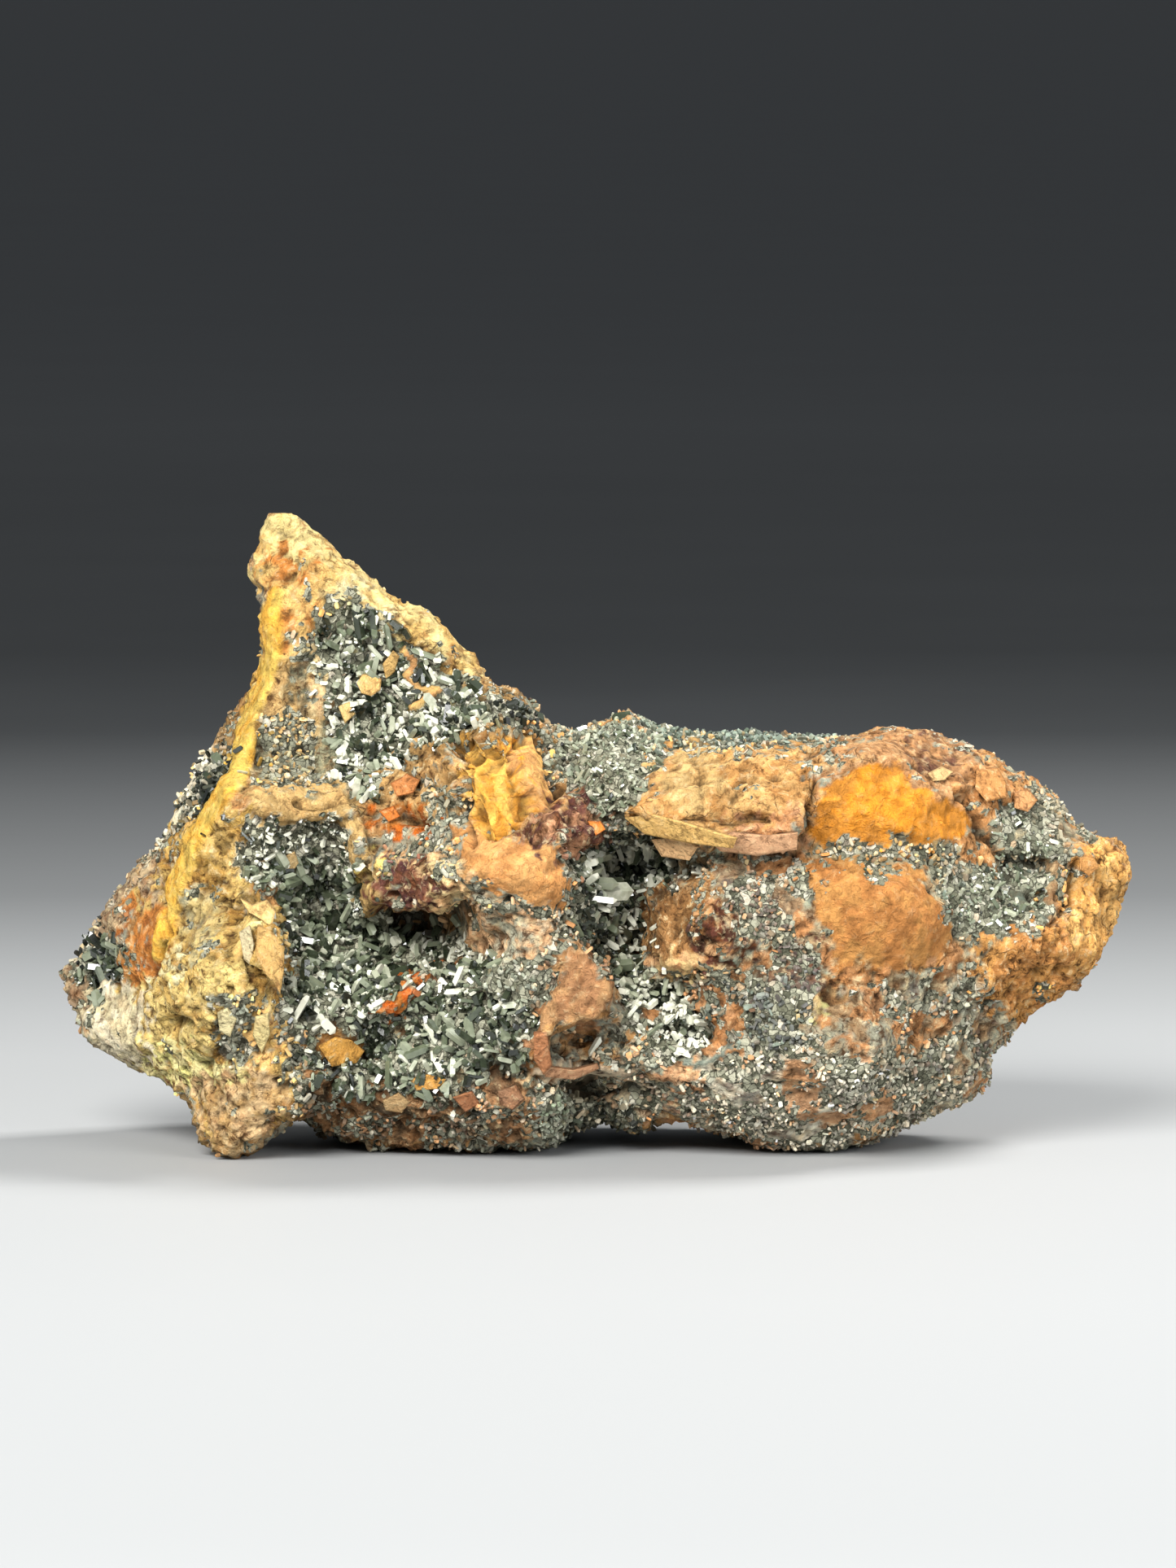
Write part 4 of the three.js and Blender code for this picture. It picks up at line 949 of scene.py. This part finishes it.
# Fine crystals over the granular patches of the rock
granular = np.clip(1.8 * grainy - 0.9, 0, 1) * ~druse
layers = []
for per_mm2, length, width in ((11, 0.24, 0.18), (2.5, 0.36, 0.22)):
    layer = strewn(granular, per_mm2, length, width, -0.7, (1, 0, 0))
    around = layer[0] + 0.45 * random.normal(size=layer[0].shape)
    found = [tree.find_nearest(Vector(place))[2] for place in around]
    own = tint[faces[found]].mean(1) * np.exp(0.24 * random.normal(size=(len(found), 1)))
    pick = random.random((len(found), 1))
    pale = 0.6 * own + 0.4 * linear((214, 212, 192))
    own = np.where(pick < 0.12, 0.4 * own, np.where(pick > 0.92, pale, own))
    layer[4] = np.clip(own, 0.004, 0.8)
    layers.append(layer)
parts = [np.concatenate(part) for part in zip(*layers)]
behind = parts[0][:, 1] > np.median(parts[0][:, 1])
crystals("micro_druse_front", granules, *(part[~behind] for part in parts))
crystals("micro_druse_back", granules, *(part[behind] for part in parts))

# Single crystals that stand out in the picture: both ends, width in mm, shade
SINGLE = [
    (489, 1146, 498, 1188, 0.24, 0.96), (532, 1152, 501, 1190, 0.3, 1.0), (530, 1122, 542, 1152, 0.32, 0.7),
    (556, 1124, 566, 1138, 0.4, 0.75), (722, 1102, 778, 1090, 0.75, 0.92), (706, 1092, 760, 1078, 0.5, 0.8),
    (716, 1108, 758, 1102, 0.4, 1.0), (700, 1072, 742, 1050, 0.5, 0.7), (722, 1064, 752, 1046, 0.4, 0.8),
    (742, 1112, 774, 1106, 0.35, 0.75), (724, 1140, 736, 1118, 0.4, 0.9), (748, 1150, 760, 1122, 0.4, 0.66),
    (702, 1128, 716, 1152, 0.4, 0.6), (786, 1062, 800, 1058, 0.3, 1.0), (802, 1078, 822, 1084, 0.4, 0.7),
    (522, 1258, 536, 1284, 0.35, 0.97), (724, 1298, 738, 1274, 0.3, 1.0), (792, 1244, 808, 1226, 0.3, 0.98),
    (437, 742, 445, 792, 0.42, 0.2), (456, 748, 462, 796, 0.36, 0.3), (474, 766, 480, 800, 0.3, 0.62),
    (452, 792, 470, 812, 0.3, 0.9), (496, 772, 504, 786, 0.55, 0.12), (448, 930, 462, 912, 0.25, 0.85),
    (262, 926, 274, 944, 0.55, 0.5), (252, 948, 262, 962, 0.4, 0.3), (336, 1040, 352, 1066, 0.5, 0.8),
    (362, 1052, 372, 1078, 0.4, 0.68), (404, 1210, 416, 1218, 0.4, 0.95), (440, 1176, 450, 1188, 0.42, 0.9),
    (600, 1168, 612, 1178, 0.45, 0.72), (750, 1384, 798, 1362, 1.1, 0.6), (575, 836, 592, 850, 0.5, 0.25),
    (628, 862, 644, 872, 0.6, 0.25), (650, 880, 668, 884, 0.55, 0.3), (752, 884, 778, 880, 0.7, 0.3),
    (706, 900, 722, 894, 0.5, 0.35),
]


def on_rock(place, lift):
    """The rock's surface seen at a place of the picture, moved towards the viewer"""
    eye, way = sight(place)
    hit = tree.ray_cast(Vector(eye), Vector(way))[0]
    return None if hit is None else np.array(hit) - way * lift


LIFT = 0.16  # of a single crystal from the rock
ends = [(on_rock(row[:2], LIFT), on_rock(row[2:4], LIFT), *row[4:]) for row in SINGLE]
ends = [row for row in ends if row[0] is not None and row[1] is not None]
first, last, widths, shades = map(np.array, zip(*ends))
run = last - first
run[:, 1] = np.clip(run[:, 1], -0.5, 0.5)
lengths = np.linalg.norm(run, axis=1)
crystals("single_crystals", olivenite, (first + last) / 2, run, lengths, widths, shades)

# Thin flakes and knobs of rock with sharp edges: tone, lift and thickness in mm, outline
FLAKES = [
    ((236, 198, 130), 0.35, 0.3, [298, 1098, 312, 1106, 330, 1100, 341, 1113, 336, 1132, 318, 1134, 307, 1120]),
    ((208, 168, 104), 0.3, 0.3, [317, 1136, 340, 1134, 354, 1150, 352, 1182, 347, 1212, 337, 1204, 325, 1192,
     315, 1170]),
    ((238, 222, 178), 0.2, 0.25, [296, 1140, 307, 1136, 313, 1160, 309, 1186, 300, 1178]),
    ((222, 164, 80), 0.2, 0.3, [392, 1284, 412, 1274, 432, 1278, 448, 1290, 438, 1306, 408, 1310]),
    ((216, 160, 84), 0.15, 0.25, [503, 1326, 526, 1320, 548, 1326, 540, 1338, 512, 1340]),
    ((236, 222, 170), 0.2, 0.2, [267, 1244, 280, 1238, 291, 1252, 283, 1274, 270, 1266]),
    ((232, 212, 150), 0.2, 0.2, [314, 1248, 330, 1244, 332, 1270, 322, 1294, 311, 1272]),
    ((236, 190, 120), 0.3, 0.35, [439, 838, 446, 827, 459, 825, 469, 834, 468, 846, 457, 853, 445, 850]),
    ((224, 184, 116), 0.25, 0.25, [470, 816, 483, 799, 491, 806, 485, 826, 474, 834]),
    ((226, 190, 124), 0.25, 0.25, [416, 868, 430, 861, 437, 877, 424, 889]),
    ((220, 186, 130), 0.2, 0.25, [350, 1052, 362, 1046, 368, 1060, 358, 1072, 349, 1066]),
    ((214, 176, 112), 0.2, 0.25, [402, 1288, 414, 1296, 404, 1302]),
    ((226, 184, 112), 0.3, 0.4, [768, 1004, 800, 1000, 845, 1010, 905, 1026, 900, 1040, 850, 1034, 792, 1022]),
    ((204, 146, 88), 0.35, 0.7, [1199, 946, 1224, 940, 1234, 956, 1236, 978, 1212, 984, 1198, 968]),
    ((206, 150, 98), 0.35, 0.6, [1246, 974, 1262, 968, 1274, 982, 1262, 996, 1246, 992]),
    ((216, 156, 92), 0.2, 0.35, [1326, 1054, 1342, 1050, 1350, 1064, 1338, 1076, 1326, 1068]),
    ((228, 190, 132), 0.2, 0.3, [1140, 950, 1156, 940, 1170, 946, 1160, 958, 1146, 960]),
    ((150, 112, 84), 0.25, 0.3, [612, 1340, 634, 1332, 644, 1350, 630, 1362, 614, 1356]),
    ((200, 130, 76), 0.25, 0.3, [480, 962, 500, 950, 516, 958, 508, 974, 488, 978]),
    ((214, 124, 58), 0.2, 0.25, [466, 996, 484, 990, 492, 1002, 478, 1010]),
    ((190, 158, 112), 0.2, 0.3, [470, 1352, 490, 1342, 504, 1354, 494, 1366, 474, 1364]),
    ((176, 120, 84), 0.2, 0.3, [556, 1348, 580, 1340, 590, 1356, 572, 1366]),
    ((226, 176, 134), 0.3, 0.3, [872, 1030, 900, 1022, 944, 1026, 980, 1022, 978, 1040, 930, 1048, 884, 1042]),
    ((232, 188, 136), 0.25, 0.25, [800, 1030, 836, 1028, 858, 1040, 846, 1050, 812, 1044]),
    ((196, 134, 92), 0.35, 0.5, [656, 1266, 672, 1268, 678, 1306, 668, 1320, 656, 1300]),
    ((200, 150, 112), 0.5, 0.3, [668, 1308, 704, 1312, 734, 1306, 736, 1313, 706, 1322, 670, 1322]),
    ((206, 120, 52), 0.2, 0.25, [722, 1008, 738, 1006, 744, 1018, 732, 1026]),
]
corners, polygons, tones = [], [], []
for tone, lift, thick, outline in FLAKES:
    rim_places = np.array(pairs(outline))
    rim = [on_rock(place, 0) for place in rim_places]
    if any(point is None for point in rim):
        continue
    rim = np.array(rim)
    # a plane through the rock that the flake covers, near the part that stands out most
    centre = rim_places.mean(0)
    spots = [centre + share * (place - centre) for place in rim_places for share in (0.35, 0.7, 1)]
    covered = [on_rock(spot, 0) for spot in spots]
    covered = np.array([point for point in covered if point is not None])
    across = np.column_stack((np.ones(len(covered)), covered[:, 0], covered[:, 2]))
    fit = np.linalg.lstsq(across, covered[:, 1], rcond=None)[0]
    fit[1:] = np.clip(fit[1:], -0.7, 0.7)
    fit[0] = np.quantile(covered[:, 1] - across[:, 1:] @ fit[1:], 0.12) - lift
    rim[:, 1] = fit[0] + rim[:, 0] * fit[1] + rim[:, 2] * fit[2]
    middle = rim.mean(0)
    rings = [rim + (0, thick + lift, 0), rim + (0, 0.06, 0), middle + (rim - middle) * 0.86]
    rings[2][:, 1] += random.uniform(-0.06, 0.04, len(rim))
    start, n = len(corners), len(rim)
    corners.extend(np.concatenate(rings))
    corners.append(middle - (0, 0.05, 0))
    for ring in range(2):
        for k in range(n):
            a, b = start + ring * n + k, start + ring * n + (k + 1) % n
            polygons.append((a, b, b + n, a + n))
    polygons.extend((start + 2 * n + k, start + 2 * n + (k + 1) % n, start + 3 * n) for k in range(n))
    # painted shade: the side walls are darker than the top, 0.45 of the tone where they meet the rock and 0.8
    # at the top's edge
    tones.extend([0.45 * linear(tone)] * n + [0.8 * linear(tone)] * n + [linear(tone)] * (n + 1))
flakes = mesh_object("flakes", np.clip(np.array(corners), low, high), polygons)
store(flakes, "tint", np.array(tones))
store(flakes, "rugged", np.full(len(tones), 0.12))
store(flakes, "hollow_shade", np.zeros(len(tones)))
store(flakes, "grain", np.zeros(len(tones)))
flakes.data.materials.append(gossan)

# Floor, light and camera

# Greys of the table from near to far, as the picture shows it fading into the dark
# painted shade: the floor's grey falls from pale near the specimen to dark far behind, standing in for the
# light fading out
FLOOR = [(0.03, 156), (0.1, 164), (0.15, 166), (0.21, 162), (0.26, 142), (0.314, 109), (0.379, 89)]
FLOOR += [(0.46, 47), (0.56, 29), (0.84, 42), (1.0, 54)]


def floor_surface():
    s = Surface("floor", Roughness=0.6, Specular_IOR_Level=0.25)
    split = s.node("SeparateXYZ", {"Vector": s.place})
    away = s.node("MapRange", {"Value": split.outputs["Y"], "From Min": -0.12, "From Max": 0.6})
    # painted shade: the table's grey darkens with distance along y
    tone = s.ramp(away.outputs["Result"], [(place, (grey, grey + 2, grey + 3)) for place, grey in FLOOR])
    cloud = s.spread(s.noise(30, 4), 0.3, 0.7, 0, 0.012)
    s.set("Base Color", s.mix(cloud, tone, rgb(150, 154, 156)))
    return s.material


floor_mesh = bpy.data.meshes.new("floor")
floor_mesh.from_pydata([(-6, -1.5, 0), (6, -1.5, 0), (6, 12, 0), (-6, 12, 0)], [], [(0, 1, 2, 3)])
floor = bpy.data.objects.new("floor", floor_mesh)
floor.data.materials.append(floor_surface())
bpy.context.scene.collection.objects.link(floor)

scene = bpy.context.scene
world = bpy.data.worlds.new("studio")
scene.world = world
world.use_nodes = True
world.node_tree.nodes["Background"].inputs["Color"].default_value = (0.8, 0.86, 0.92, 1)
world.node_tree.nodes["Background"].inputs["Strength"].default_value = 0.25


def lamp(name, place, power, size, colour):
    """A soft lamp that shines at the middle of the specimen"""
    light = bpy.data.lights.new(name, "AREA")
    light.shape = "RECTANGLE"
    light.size, light.size_y = size
    light.energy = power
    light.color = colour
    thing = bpy.data.objects.new(name, light)
    thing.location = place
    thing.rotation_euler = (Vector((0, 0, 0.012)) - Vector(place)).to_track_quat("-Z", "Y").to_euler()
    scene.collection.objects.link(thing)


lamp("key", (-0.14, -0.36, 0.26), 4.3, (0.26, 0.18), (1, 0.985, 0.96))
lamp("fill", (0.3, -0.34, 0.16), 1.2, (0.22, 0.16), (0.97, 0.98, 1))
lamp("rim", (0.2, 0.1, 0.28), 1.5, (0.12, 0.12), (1, 0.98, 0.95))

camera_data = bpy.data.cameras.new("camera")
camera_data.sensor_width = 36
camera_data.lens = camera_data.sensor_width * UNITS_PER_MM * DISTANCE / (2 * PICTURE_CENTRE[1])
camera_data.clip_start, camera_data.clip_end = 0.01, 40
camera = bpy.data.objects.new("camera", camera_data)
eye, _ = sight(PICTURE_CENTRE)
camera.location = eye * MM
camera.rotation_euler = Vector((AIM - eye).tolist()).to_track_quat("-Z", "Y").to_euler()
scene.collection.objects.link(camera)
scene.camera = camera
scene.view_settings.view_transform = "Standard"
